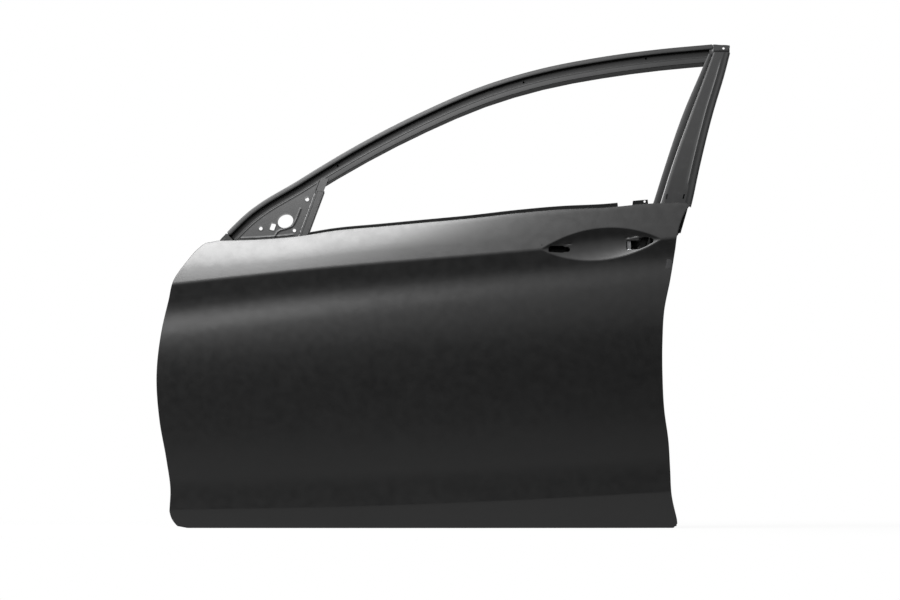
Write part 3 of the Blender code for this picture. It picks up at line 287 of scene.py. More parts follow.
recess_middle = 0.5 * (RECESS_FRONT + RECESS_REAR)
recess_line = character_line(recess_middle)
recess_sunk = skin_y(recess_middle, recess_line) - plain_skin_y(recess_middle, recess_line)
print("recess sunk behind the crease, mm", round(recess_sunk / MM, 1))

# %% [markdown]
# ## The sheet that the glass follows
#
# The side glass is a curved sheet that leans inboard as it rises, and the window frame follows it. A
# point on the frame is given by its place in the side view and its depth square to that sheet.

# %% A point on the glass sheet
FRAME_SETBACK = 13.0 * MM
FRAME_LEAN = 0.30
FRAME_CURVE = 0.35
GLASS_CURVE = 0.60
GLASS_TURN = 0.25


def glass_point(x, z, depth=0.0):
    """A point on the curved sheet that the side glass and the window frame follow."""
    h = z - belt_line(x)
    if h >= 0:
        y, slope = FRAME_LEAN * h + FRAME_CURVE * h * h, FRAME_LEAN + 2 * FRAME_CURVE * h
    else:
        h = max(h, -GLASS_TURN)
        y, slope = FRAME_LEAN * h + GLASS_CURVE * h * h, FRAME_LEAN + 2 * GLASS_CURVE * h
    lean = math.atan(slope)
    return place(x, belt_y(x) + FRAME_SETBACK + y + depth * math.cos(lean), z - depth * math.sin(lean))


def across(edge, z, section):
    """Points of a section, given as distances rearward of the edge and depths, at one height."""
    return [glass_point(edge + s, z, depth) for s, depth in section]


def levels(lo, hi, step):
    """Even steps from lo to hi, near the given step."""
    n = max(1, round((hi - lo) / step))
    return [lerp(lo, hi, i / n) for i in range(n + 1)]


print("top rear corner of the glass sheet", [round(v, 3) for v in glass_point(1.16, 1.048)])

# %% [markdown]
# ## Primer from nodes
#
# The door is dipped in a dark primer with a satin face. Three scales of noise carry it: a broad drift
# in tone from the dip, a finer drift in gloss, and a fine orange peel in the bump. Inner pieces are
# duller, because they never meet the sanding pad. A darker, duller copy of the primer is painted shade:
# it goes on the seal channel, along the pillar gap and on pieces seen through gaps and openings.

# %% Primer and plated steel
GLOSS_DRIFT = 0.025
PEEL_HEIGHT = 0.05 * MM
FLECK_TONE = 2.2


def primer(name, grey, rough, peel=0.10, drift=0.12, fleck=0.0, sheen=0.25):
    """Dark satin primer: base grey, roughness, orange peel, drift in tone, pale fleck and sheen."""
    mat = bpy.data.materials.new(name)
    mat.use_nodes = True
    nodes, links = mat.node_tree.nodes, mat.node_tree.links
    bsdf = nodes["Principled BSDF"]
    bsdf.inputs["Specular IOR Level"].default_value = sheen
    where = nodes.new("ShaderNodeTexCoord")

    def noise(scale, detail):
        node = nodes.new("ShaderNodeTexNoise")
        node.inputs["Scale"].default_value = scale
        node.inputs["Detail"].default_value = detail
        links.new(where.outputs["Object"], node.inputs["Vector"])
        return node

    def spread(source, from_low, from_high, to_low, to_high):
        node = nodes.new("ShaderNodeMapRange")
        node.inputs["From Min"].default_value = from_low
        node.inputs["From Max"].default_value = from_high
        node.inputs["To Min"].default_value = to_low
        node.inputs["To Max"].default_value = to_high
        links.new(source.outputs["Fac"], node.inputs["Value"])
        return node.outputs["Result"]

    broad, mid, fine = noise(4.0, 3.0), noise(55.0, 4.0), noise(1400.0, 2.0)
    tone = nodes.new("ShaderNodeValToRGB")
    for element, position, shade in zip(tone.color_ramp.elements, (0.30, 0.72),
                                        (grey * (1 - drift), grey * (1 + drift))):
        element.position = position
        element.color = (shade, shade * 1.01, shade * 1.03, 1)
    links.new(broad.outputs["Fac"], tone.inputs["Fac"])
    colour = tone.outputs["Color"]
    if fleck > 0:
        specks = nodes.new("ShaderNodeMix")
        specks.data_type = "RGBA"
        links.new(spread(mid, 0.60, 0.75, 0.0, fleck), specks.inputs[0])
        links.new(colour, specks.inputs[6])
        specks.inputs[7].default_value = (grey * FLECK_TONE, grey * FLECK_TONE, grey * FLECK_TONE, 1)
        colour = specks.outputs[2]
    links.new(colour, bsdf.inputs["Base Color"])
    links.new(spread(mid, 0.3, 0.7, rough - GLOSS_DRIFT, rough + GLOSS_DRIFT), bsdf.inputs["Roughness"])
    bump = nodes.new("ShaderNodeBump")
    bump.inputs["Strength"].default_value = peel
    bump.inputs["Distance"].default_value = PEEL_HEIGHT
    links.new(fine.outputs["Fac"], bump.inputs["Height"])
    links.new(bump.outputs["Normal"], bsdf.inputs["Normal"])
    return mat


def steel(name, grey, rough):
    """Plated steel with a fine grain."""
    mat = primer(name, grey, rough, 0.25, 0.20)
    mat.node_tree.nodes["Principled BSDF"].inputs["Metallic"].default_value = 0.85
    return mat


SKIN = primer("skin_primer_satin", 0.0025, 0.35, 0.08, 0.05, sheen=0.38)
FRAME = primer("frame_primer_satin", 0.009, 0.44, 0.15, 0.10, 0.25, sheen=0.19)
# Painted shade: a darker, duller copy of the primer, put where shade falls in channels, gaps and openings.
SHADE_PRIMER = primer("primer_darkened_for_shade", 0.004, 0.50, 0.20, 0.15, sheen=0.14)
INNER = primer("inner_primer_dull", 0.014, 0.52, 0.20, 0.15)
PLATED = steel("plated_steel", 0.42, 0.32)
NUT = steel("nut_steel", 0.20, 0.38)
MASTIC = primer("mastic_matt", 0.012, 0.85, 0.8, 0.25)
print("finishes", [mat.name for mat in (SKIN, FRAME, SHADE_PRIMER, INNER, PLATED, NUT, MASTIC)])

# %% [markdown]
# ## Pressing a sheet
#
# `strip` joins rows of points to an open surface. `pressed` thickens it to the real sheet and turns
# the result into plain mesh, with edges kept sharp only where the metal really turns a corner. A
# modifier does the thickening, because it keeps the sheet even where the surface bends.

# %% From rows of points to a sheet
SHARP_ANGLE = 32.0


def strip(rows):
    """Points and four-sided faces joining rows of equal length."""
    n = len(rows[0])
    points = [p for row in rows for p in row]
    faces = [(r * n + c, r * n + c + 1, (r + 1) * n + c + 1, (r + 1) * n + c)
             for r in range(len(rows) - 1) for c in range(n - 1)]
    return points, faces


def pressed(name, points, faces, thickness, mat, slot, *stands_for, cutters=(), even=True,
            shade_mat=None, shade_faces=()):
    """A thickened sheet on the door; the listed faces get the second material, a darker primer painted on as
    shade.
    """
    mesh = bpy.data.meshes.new(name)
    mesh.from_pydata(points, [], faces)
    mesh.materials.append(mat)
    if shade_mat:
        mesh.materials.append(shade_mat)
        for f in shade_faces:
            mesh.polygons[f].material_index = 1
    obj = bpy.data.objects.new(name, mesh)
    bpy.context.scene.collection.objects.link(obj)
    weld = obj.modifiers.new("weld", "WELD")
    weld.merge_threshold = 1e-6
    solid = obj.modifiers.new("sheet", "SOLIDIFY")
    solid.thickness = thickness
    solid.offset = 0.0
    solid.use_even_offset = even
    solid.use_quality_normals = True
    for cutter in cutters:
        hole = obj.modifiers.new("hole", "BOOLEAN")
        hole.operation = "DIFFERENCE"
        hole.solver = "EXACT"
        hole.object = cutter
    made = bpy.data.meshes.new_from_object(obj.evaluated_get(bpy.context.evaluated_depsgraph_get()))
    obj.modifiers.clear()
    obj.data = made
    made.shade_smooth()
    made.set_sharp_from_angle(angle=math.radians(SHARP_ANGLE))
    for cutter in cutters:
        bpy.data.objects.remove(cutter, do_unlink=True)
    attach(obj, "root")
    if stands_for:
        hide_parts(*stands_for)
    spans = [max(v.co[c] for v in made.vertices) - min(v.co[c] for v in made.vertices) for c in range(3)]
    print(name, "faces", len(made.polygons), "size mm", [round(v / MM, 1) for v in spans])


def prism(name, loop, near, far, depth_point=None):
    """A hidden cutter: the outline swept from near to far, straight inboard or square to the glass."""
    def end(depth):
        if depth_point:
            return [depth_point(x, z, depth) for x, z in loop]
        return [place(x, depth, z) for x, z in loop]
    n = len(loop)
    mesh = bpy.data.meshes.new(name)
    area = sum(a[0] * b[1] - b[0] * a[1] for a, b in zip(loop, loop[1:] + loop[:1]))
    faces = [tuple(range(n)), tuple(range(2 * n - 1, n - 1, -1))]
    faces += [((i + 1) % n, i, n + i, n + (i + 1) % n) for i in range(n)]
    if area < 0:
        faces = [tuple(reversed(f)) for f in faces]
    mesh.from_pydata(end(near) + end(far), [], faces)
    obj = bpy.data.objects.new(name, mesh)
    bpy.context.scene.collection.objects.link(obj)
    return obj


print("edges stay sharp from a turn of", SHARP_ANGLE, "degrees")

# %% [markdown]
# ## Flat outlines with holes
#
# Small pressings start as a flat blank: an outline with rounded corners, and holes in it. `holed`
# fills it with even triangles before the blank is bent onto the door, so that beads and raised lips
# have points to stand on.

# %% From an outline to triangles
def inside(p, loop):
    hit = False
    for (x0, z0), (x1, z1) in zip(loop, loop[1:] + loop[:1]):
        if (z0 > p[1]) != (z1 > p[1]) and p[0] < (x1 - x0) * (p[1] - z0) / (z1 - z0) + x0:
            hit = not hit
    return hit


def loop_away(p, loop):
    """How far the point lies from the closed outline."""
    return path_away(p, loop + loop[:1])


def divided(loop, step):
    """The closed loop with points no further apart than step."""
    result = []
    for a, b in zip(loop, loop[1:] + loop[:1]):
        n = max(1, math.ceil(math.hypot(b[0] - a[0], b[1] - a[1]) / step))
        result += [(lerp(a[0], b[0], i / n), lerp(a[1], b[1], i / n)) for i in range(n)]
    return result


def circle(x, z, r, n=28):
    return [(x + r * math.cos(2 * math.pi * i / n), z + r * math.sin(2 * math.pi * i / n))
            for i in range(n)]


def rounded(corners, r, n=5):
    """A closed outline with each corner turned to an arc of radius r."""
    loop = []
    count = len(corners)
    for i in range(count):
        p, a, b = Vector(corners[i]), Vector(corners[i - 1]), Vector(corners[(i + 1) % count])
        u, v = (a - p).normalized(), (b - p).normalized()
        half = math.acos(max(-1.0, min(1.0, u.dot(v)))) / 2
        reach = min(r / math.tan(half), 0.45 * (a - p).length, 0.45 * (b - p).length)
        r_here = reach * math.tan(half)
        centre = p + (u + v).normalized() * (r_here / math.sin(half))
        start, stop = p + u * reach - centre, p + v * reach - centre
        for k in range(n + 1):
            t = k / n
            loop.append(tuple(centre + (start * (1 - t) + stop * t).normalized() * r_here))
    return loop


def holed(outer, holes, step, spacing):
    """Flat triangles inside the outline and outside the holes, on a grid of the given spacing."""
    loops = [divided(loop, step) for loop in [outer] + holes]
    flat, edges = [], []
    for loop in loops:
        base = len(flat)
        flat += loop
        edges += [(base + i, base + (i + 1) % len(loop)) for i in range(len(loop))]

    def on_sheet(p):
        return inside(p, loops[0]) and not any(inside(p, hole) for hole in loops[1:])

    xs, zs = [p[0] for p in outer], [p[1] for p in outer]
    nx, nz = int((max(xs) - min(xs)) / spacing), int((max(zs) - min(zs)) / spacing)
    for i in range(1, nx + 1):
        for k in range(1, nz + 1):
            p = (min(xs) + i * spacing, min(zs) + k * spacing)
            if on_sheet(p) and min(loop_away(p, loop) for loop in loops) > 0.45 * spacing:
                flat.append(p)
    out = delaunay_2d_cdt([Vector(p) for p in flat], edges, [], 0, 1e-8)
    faces = []
    for f in out[2]:
        if on_sheet((sum(out[0][i].x for i in f) / 3, sum(out[0][i].y for i in f) / 3)):
            faces.append(tuple(f))
    return [(v.x, v.y) for v in out[0]], faces


washer = holed(circle(0, 0, 20 * MM), [circle(0, 0, 8 * MM)], 3 * MM, 3 * MM)
print("a washer of 40 mm takes", len(washer[1]), "triangles")

# %% [markdown]
# ## The outer panel
#
# Rows follow the door's height and columns its length. Rows crowd together at both creases and over
# the handle recess, where the surface turns quickly. Each row ends on the door's own outline, so the
# corners come out round.

# %% The two sides of the outline
HEM_RADIUS = 1.1 * MM


def smooth_path(points, per):
    """Points along a smooth line through the given ones."""
    result = []
    for i in range(len(points) - 1):
        p0, p1, p2, p3 = (points[max(i - 1, 0)], points[i], points[i + 1],
                          points[min(i + 2, len(points) - 1)])
        for k in range(per):
            t = k / per
            result.append(tuple(0.5 * (2 * p1[c] + (p2[c] - p0[c]) * t
                                       + (2 * p0[c] - 5 * p1[c] + 4 * p2[c] - p3[c]) * t * t
                                       + (3 * p1[c] - p0[c] - 3 * p2[c] + p3[c]) * t ** 3)
                                for c in (0, 1)))
    return result + [points[-1]]


def side_line(edge, low, high, corner, start, turn):
    """One side of the outline, from the bottom run up, HEM_RADIUS inside the rim.

    The door lies to the right of the line where turn is 1, and to its left where turn is -1.
    """
    heights = [lerp(low, high, i / 160) for i in range(161)]
    rim = smooth_path([start] + corner + [(edge(low), low)], 10)[:-1] + [(edge(z), z) for z in heights]
    line = []
    for i, p in enumerate(rim):
        a, b = rim[max(i - 1, 0)], rim[min(i + 1, len(rim) - 1)]
        d = Vector((b[0] - a[0], b[1] - a[1])).normalized()
        line.append((p[0] + turn * d.y * HEM_RADIUS, p[1] - turn * d.x * HEM_RADIUS))
    line[0] = (start[0], HEM_RADIUS)
    return line


front_corner = mm([(0, 0.5), (-14, 7), (-24, 21)])
front_side = side_line(front_edge, 36 * MM, 624 * MM, front_corner, (60 * MM, 0.0), 1)
front_side += [(58 * MM, 627.5 * MM), (BELT_START, belt_line(BELT_START))]
rear_corner = mm([(1078, 0), (1086.5, 3)])
rear_side = side_line(rear_edge, 20 * MM, 712 * MM, rear_corner, (1060 * MM, 0.0), -1)
rear_side += [(BELT_END, belt_line(BELT_END))]
print("points along the front and rear side", len(front_side), len(rear_side))

# %% Rows and columns of the skin
FINE_FRONT = 780 * MM
FINE_REAR = 1030 * MM
NOSE_X = 110 * MM
NOSE_COLUMNS = 18
REAR_COLUMNS = 30
CHARACTER_BAND = 42 * MM
UNDER, LOW_CREASE, BODY, CHARACTER, SHOULDER = range(5)


def row_height(x, kind, t):
    low, mid, top, _ = skin_profile(x)
    if kind == UNDER:
        return lerp(HEM_RADIUS, low - LOW_CREASE_RADIUS, t)
    if kind == LOW_CREASE:
        return low + t
    if kind == BODY:
        return lerp(low + LOW_CREASE_RADIUS, mid - CHARACTER_BAND, t)
    if kind == CHARACTER:
        return mid + t
    return lerp(mid + CHARACTER_BAND, top, t)


rows = [(UNDER, i / 9) for i in range(9)] + [(LOW_CREASE, t * MM) for t in range(-3, 3)]
rows += [(BODY, i / 76) for i in range(76)] + [(CHARACTER, (-42 + i * 1.5) * MM) for i in range(56)]
rows += [(SHOULDER, i / 8) for i in range(9)]


def row_end(side, kind, t):
    """Where a row meets one side of the outline."""
    def over(p):
        return p[1] - row_height(p[0], kind, t)
    for a, b in reversed(list(zip(side, side[1:]))):
        if over(a) <= 1e-9 and over(b) >= -1e-9:
            break
    for _ in range(30):
        m = (0.5 * (a[0] + b[0]), 0.5 * (a[1] + b[1]))
        a, b = (m, b) if over(m) <= 0 else (a, m)
    return b


middle = [lerp(NOSE_X, FINE_FRONT, i / 84) for i in range(85)]
middle += [lerp(FINE_FRONT, FINE_REAR, i / 120) for i in range(1, 121)]
grid = []
for kind, t in rows:
    a, b = row_end(front_side, kind, t), row_end(rear_side, kind, t)
    xs = [lerp(a[0], NOSE_X, (i / NOSE_COLUMNS) ** 1.6) for i in range(NOSE_COLUMNS)] + middle
    xs += [lerp(FINE_REAR, b[0], 1 - (1 - i / REAR_COLUMNS) ** 1.4) for i in range(1, REAR_COLUMNS + 1)]
    line = [(x, row_height(x, kind, t)) for x in xs]
    line[0], line[-1] = a, b
    grid.append(line)
print("skin grid", len(grid), "rows of", len(grid[0]))

# %% [markdown]
# The hem then folds back behind the edge in a half round, as a hemming die leaves it, and the top
# edge turns down into the glass slot. The two handle openings are cut last, as in the real die.

# %% Hem, top edge and handle openings
SKIN_SHEET = 0.8 * MM
HEM_WIDTH = 12.0 * MM
SLOT_TURN = 3.2
TOP_TURN = mm([(0, 0), (0.6, 0.25), (1.4, 0.25), (2.3, -0.1), (3.0, -0.9), (SLOT_TURN, -2.0),
               (SLOT_TURN, -7.0)])
TOP_TURN_REAR = 1100 * MM
CUT_FROM, CUT_TO = -70 * MM, 10 * MM


def hem_row(i, edge_line):
    """The hem's section at one point of the door's edge."""
    p, a, b = edge_line[i], edge_line[max(i - 2, 0)], edge_line[min(i + 2, len(edge_line) - 1)]
    d = Vector((b[0] - a[0], b[1] - a[1])).normalized()
    section = [(-HEM_RADIUS * math.cos(math.radians(turn)), HEM_RADIUS * (1 + math.sin(math.radians(turn))))
               for turn in [-90 + 22.5 * k for k in range(9)]]
    row = []
    for inward, deep in section + [(HEM_WIDTH - HEM_RADIUS, 2 * HEM_RADIUS)]:
        x, z = p[0] - d.y * inward, p[1] + d.x * inward
        row.append(place(x, skin_y(x, z) + deep, z))
    return row


edge_line = [line[0] for line in reversed(grid)] + grid[0][1:-1] + [line[-1] for line in grid]
hem_rows = [hem_row(i, edge_line) for i in range(len(edge_line))]
top_rows = [[place(x, skin_y(x, z) + dy, z + dz) for dy, dz in TOP_TURN]
            for x, z in grid[-1] if x < TOP_TURN_REAR]
points, faces = strip([[place(x, skin_y(x, z), z) for x, z in line] for line in grid])
for extra_points, extra_faces in (strip(hem_rows), strip(top_rows)):
    base = len(points)
    points += extra_points
    faces += [tuple(base + k for k in f) for f in extra_faces]

front_opening = rounded(mm([(803.5, 604.8), (836, 604.5), (838, 606), (848, 606), (851, 609), (851, 614),
                            (848, 617), (839, 617.2), (836, 619.8), (808, 619.5), (803.5, 616)]), 3 * MM, 3)
rear_opening = rounded(mm([(975, 611), (1003, 612), (1017, 618), (1028, 624), (1035, 628), (1035, 634),
                           (1028, 638), (1016, 639.5), (1003, 637), (1002, 631.8), (975, 631.5)]), 2 * MM, 3)
pressed("skin", points, faces, SKIN_SHEET, SKIN, "skin_primer", "outer_panel", even=False,
        cutters=[prism("front_opening_cut", front_opening, CUT_FROM, CUT_TO),
                 prism("rear_opening_cut", rear_opening, CUT_FROM, CUT_TO)])

# %% [markdown]
# ## The window frame
#
# The header is one rolled section: a flat strip that shows, a step down into the seal channel, and a
# lip with a bead where the glass run clips in. A section is a list of distances from the frame's
# outer edge and depths behind it, and it is swept square to that edge.

# %% The header
FRAME_SHEET = 0.8 * MM
HEADER_FRONT, HEADER_REAR, HEADER_STEPS = 97, 1166, 180
CHANNEL_FIRST, CHANNEL_LAST = 8, 18
SASH = mm([(0.5, 8.5), (0.5, 1.6), (0.75, 0.9), (1.4, 0.5), (3.0, 0.42), (6.5, 0.42), (9.0, 0.55),
           (9.8, 0.9), (10.3, 1.7), (10.6, 4.0), (11.0, 6.6), (12.2, 7.6), (14.0, 8.1), (19.5, 9.3),
           (22.0, 9.3), (23.4, 8.6), (24.0, 6.5), (24.4, 3.0), (25.0, 1.7), (26.0, 1.0), (26.8, 0.75),
           (27.6, 0.95), (28.4, 1.25), (29.6, 1.35), (36.8, 1.35), (38.2, 1.6), (38.9, 2.4), (39.0, 5.0)])


def path_at(x):
    """A point on the frame's outer edge and the direction square to it, toward the window."""
    d = 2 * MM
    along = Vector((2 * d, header_edge(x + d) - header_edge(x - d))).normalized()
    return (x, header_edge(x), along.y, -along.x)


header_path = [path_at((HEADER_FRONT + (HEADER_REAR - HEADER_FRONT) * (i / HEADER_STEPS)) * MM)
               for i in range(HEADER_STEPS + 1)]
zs = [z * MM for z in (940, 985, 1020, 1048.6)]
clear_loop = [(pillar_front(z) - 0.5 * MM, z) for z in zs] + [(1240 * MM, zs[-1]), (1240 * MM, zs[0])]
cuts = [prism("corner_cut", clear_loop, -20 * MM, 60 * MM, glass_point)]
for n, (x, drop) in enumerate(mm([(1020, 14.5), (750, 17.5), (340, 19)])):
    cuts.append(prism(f"clip_hole_{n}", circle(x, header_edge(x) - drop, 2.2 * MM, 16), -2 * MM, 14 * MM,
                      glass_point))
points, faces = strip([[glass_point(x + s * nx, z + s * nz, d) for s, d in SASH]
                       for x, z, nx, nz in header_path])
parts_across = len(SASH) - 1
# The seal channel's faces get the darker primer: painted shade in the channel.
pressed("window_header", points, faces, FRAME_SHEET, FRAME, "frame_primer", "upper_sash", cutters=cuts,
        shade_mat=SHADE_PRIMER, shade_faces=[f for f in range(len(faces))
                                        if CHANNEL_FIRST <= f % parts_across <= CHANNEL_LAST])

# %% [markdown]
# The rear of the frame is two pieces side by side: the channel that guides the glass, and a tapered
# cover with one pressed bead. The dark line between them is a real gap, and the cover's two edge
# faces along it get the darker primer as painted shade.

# %% The glass channel
rows = []
for z in levels(350 * MM, 1044 * MM, 9 * MM):
    a, b = pillar_front(z), pillar_gap(z) - 0.7 * MM
    rows.append(across(a, z, mm([(0, 1.2), (0.3, 0.4), (1.2, 0.15)]))
                + across(lerp(a, b, 0.5), z, mm([(0, 0.1)]))
                + across(b, z, mm([(-1.2, 0.15), (-0.3, 0.4), (0, 1.2), (0, 13.2), (-0.8, 14)]))
                + across(a, z, mm([(0, 14)])))
pressed("glass_channel", *strip(rows), FRAME_SHEET, FRAME, "frame_primer", "rear_glass_channel")

# %% The pillar cover
COVER_FOOT = 706 * MM
COVER_TOP = 1048 * MM
BEAD_TOP = 1040 * MM
BEAD_FOOT = 752 * MM
BEAD_RISE = 0.5 * MM
BEAD_WIDTH = 1.3
BEAD_STEPS = (-1.8, -1.2, -0.6, 0, 0.6, 1.2, 1.8, 2.5)
COVER_DEPTH = 0.7 * MM


def cover_row(z):
    a, b = pillar_gap(z) + 2.0 * MM, pillar_rear(z)
    bead = b - lerp(17.0, 15.0, (z - 721 * MM) / (327 * MM)) * MM
    rise = BEAD_RISE * ramp((z - BEAD_FOOT) / (10 * MM)) * ramp((BEAD_TOP - z) / (30 * MM))
    row = across(a, z, mm([(0, 6), (0, 1.7), (0.3, 1.0), (1.0, 0.7)]))
    row += [glass_point(lerp(a + 1.0 * MM, bead - 2.2 * MM, k / 6), z, COVER_DEPTH) for k in range(1, 7)]
    row += [glass_point(bead + s * MM, z, COVER_DEPTH - rise * math.exp(-(s / BEAD_WIDTH) ** 2))
            for s in BEAD_STEPS]
    row += across(bead, z, mm([(3.4, 1.0)])) + across(lerp(bead, b, 0.55), z, mm([(0, 1.0)]))
    return row + across(b, z, mm([(-4.5, 0.9), (-2.6, 1.1), (-1.0, 1.7), (-0.2, 2.6), (0, 4), (0, 8)]))


foot_slots = [mm([(1062, 722.5), (1065.5, 722.5), (1067.5, 733), (1064, 733)]),
              mm([(1099, 723), (1102, 723), (1104.5, 733.5), (1101.5, 733.5)])]
cuts = [prism(f"foot_slot_{n}", slot, -3 * MM, 4 * MM, glass_point) for n, slot in enumerate(foot_slots, 1)]
cover_rows = [cover_row(z) for z in levels(COVER_FOOT, COVER_TOP, 5 * MM)]
points, faces = strip(cover_rows)
parts_across = len(cover_rows[0]) - 1
# The cover's edge faces at the gap take the darker primer: painted shade.
pressed("pillar_face", points, faces, FRAME_SHEET, FRAME, "frame_primer", "pillar_cover", cutters=cuts,
        shade_mat=SHADE_PRIMER, shade_faces=[f for f in range(len(faces)) if f % parts_across <= 1])

# %% [markdown]
# A small plate closes the top rear corner. It is flush with the frame where it shows, and joggled
# back by a sheet's thickness or two where it slips behind the header and the cover.

# %% The corner bracket
BRACKET_SHEET = 1.2 * MM
JOGGLE = 3 * MM
bracket_loop = rounded(mm([(1160, 1040), (1203, 1040), (1206, 1063), (1160, 1065.5)]), 2 * MM)
flat, tris = holed(bracket_loop, [circle(1191.5 * MM, 1056.5 * MM, 2.6 * MM)], 2 * MM, 2 * MM)


def bracket_depth(x, z):
    behind = max(ramp((1170 * MM - x) / JOGGLE), ramp((1052 * MM - z) / JOGGLE))
    return lerp(0.6, 3.0, behind) * MM


pressed("corner_bracket", [glass_point(x, z, bracket_depth(x, z)) for x, z in flat], tris, BRACKET_SHEET,
        FRAME, "frame_primer", "rear_corner_bracket")

# %% [markdown]
# ## The mirror triangle and the division bar
#
# The triangle carries the mirror: a large slanted hole for its cable, a locating slot and three bolt
# holes, and a pressed bead that bends round the big hole. Each hole keeps a small raised lip.

# %% The mirror triangle
SAIL_DEPTH = -0.1 * MM
SAIL_STEP = 31 * MM
LIP_REACH = 2.0 * MM


def bump_over(away, width):
    """A rounded ridge, one high, as seen from its middle line."""
    return math.exp(-(away / width) ** 2)


def slanted_oval(x, z, long, short, turn, n=48):
    """An oval outline whose long axis runs along turn."""
    loop = []
    for i in range(n):
        u, v = long * math.cos(2 * math.pi * i / n), short * math.sin(2 * math.pi * i / n)
        loop.append((x + u * turn[0] - v * turn[1], z + u * turn[1] + v * turn[0]))
    return loop


cable_hole = slanted_oval(225.5 * MM, 673.6 * MM, 17.5 * MM, 14 * MM, (0.9, 0.44))
sail_holes = [cable_hole, rounded(mm([(190, 655), (200, 653), (205, 667), (195, 669)]), 2 * MM),
              circle(171 * MM, 657.6 * MM, 4 * MM), circle(273 * MM, 721.8 * MM, 4.4 * MM),
              circle(245 * MM, 653.2 * MM, 3.7 * MM)]
bead_line = smooth_path(mm([(258.5, 701), (254, 689), (249, 677), (241, 663.5), (228, 657.5), (212, 652.5),
                            (205, 645), (203, 640)]), 6)


def sail_depth(x, z):
    """The triangle's face with its bead, the lips of its holes and the fold along its base."""
    depth = SAIL_DEPTH - 1.3 * MM * bump_over(path_away((x, z), bead_line), 1.3 * MM)
    for hole in sail_holes:
        depth -= 0.35 * MM * ramp(1.0 - loop_away((x, z), hole) / LIP_REACH)
    base = belt_line(x) + 5.5 * MM
    fold = bump_over(z - base, 1.2 * MM) * ramp((bar_front(z) - 8 * MM - x) / (8 * MM))
    return depth - 0.9 * MM * fold


sail_top = [(x + SAIL_STEP * nx, z + SAIL_STEP * nz) for x, z, nx, nz in header_path]
sail_top = [p for p in sail_top if p[0] < bar_front(p[1]) - 4 * MM]
tip = sail_top[-1][1] + 14 * MM
sail_loop = sail_top + [(bar_front(z) - 1.0 * MM, z) for z in levels(tip, 604 * MM, -8 * MM)]
sail_loop += mm([(180, 600), (122, 606)])
flat, tris = holed(sail_loop, sail_holes, 1.6 * MM, 1.5 * MM)
pressed("mirror_triangle", [glass_point(x, z, sail_depth(x, z)) for x, z in flat], tris, FRAME_SHEET,
        FRAME, "frame_primer", "mirror_panel")

# %% The foot gusset
GUSSET_FRONT = 60 * MM
gusset_loop = mm([(70, 619), (80.5, 631.5), (94.5, 647), (118, 625), (108, 608)])
weld_lines = [mm([(84, 622), (92, 634)]), mm([(101, 621), (108, 633)])]
flat, tris = holed(gusset_loop, [], 2 * MM, 2 * MM)


def gusset_depth(x, z):
    near = min(path_away((x, z), line) for line in weld_lines)
    return SAIL_DEPTH - 0.7 * MM * bump_over(near, 1.2 * MM)


# The gusset takes the darker primer: painted shade at the frame's foot.
pressed("foot_gusset", [glass_point(max(x, GUSSET_FRONT), z, gusset_depth(x, z)) for x, z in flat], tris,
        FRAME_SHEET, SHADE_PRIMER, "frame_primer", "front_foot_gusset")

# %% [markdown]
# The division bar is a channel with two raised edges. It runs up until it meets the header's lip, and
# only its face laps over the lip, where it is welded.

# %% The division bar
BAR_FOOT = 392 * MM
BAR_WIDTH = 19.0 * MM
BAR_FACE = -0.4
BAR_LAP = 28 * MM
UNDER_LIP = 39.9 * MM
BAR_FRONT_EDGE = mm([(0, 14), (0, 1), (0.3, 0.2), (1.2, BAR_FACE), (3.8, BAR_FACE), (4.6, 0.1)])
BAR_REAR_EDGE = mm([(-4.2, 0.1), (-3.4, BAR_FACE), (-1.2, BAR_FACE), (-0.3, 0.2), (0, 1), (0, 14)])
LAP_FRONT, LAP_REAR = BAR_FRONT_EDGE[3], BAR_REAR_EDGE[2]


def under_header(x):
    """Height of the underside of the header's lip."""
    for (x0, z0, nx0, nz0), (x1, z1, nx1, nz1) in zip(header_path, header_path[1:]):
        a, b = (x0 + UNDER_LIP * nx0, z0 + UNDER_LIP * nz0), (x1 + UNDER_LIP * nx1, z1 + UNDER_LIP * nz1)
        if a[0] <= x <= b[0]:
            return lerp(a[1], b[1], (x - a[0]) / (b[0] - a[0]))
    return 2.0


z_stop = 650 * MM
while z_stop + 1 * MM < under_header(bar_front(z_stop)) - 1 * MM:
    z_stop += 1 * MM
points, faces = strip([across(bar_front(z), z, BAR_FRONT_EDGE)
                       + across(bar_front(z) + BAR_WIDTH, z, BAR_REAR_EDGE)
                       for z in levels(BAR_FOOT, z_stop, 6 * MM)])
base = len(points)
for z in (z_stop, z_stop + BAR_LAP):
    points += across(bar_front(z), z, [LAP_FRONT]) + across(bar_front(z) + BAR_WIDTH, z, [LAP_REAR])
faces.append((base, base + 1, base + 3, base + 2))
pressed("bar_face", points, faces, FRAME_SHEET, FRAME, "frame_primer", "division_bar")

# %% [markdown]
# ## The belt
#
# A stiffener stands a few millimetres proud of the skin's top edge. It steps down behind the last
# clip and comes back as a small tab with a hole, where the pillar starts.

# %% The belt stiffener
BELT_SHEET = 1.0 * MM
SHEET_GAP = 0.3 * MM
RISE_FRONT, RISE_REAR = 279, 955.5
TAB_FRONT, TAB_REAR = 990, 1022


def upstand(x):
    """How far the stiffener stands above the skin's top edge, or how far it stays below."""
    if RISE_FRONT * MM <= x <= RISE_REAR * MM:
        return lerp(6.5, 9.0, (x / MM - RISE_FRONT) / 676) * MM
    if TAB_FRONT * MM <= x <= TAB_REAR * MM:
        return 9.5 * MM
    return -2.0 * MM


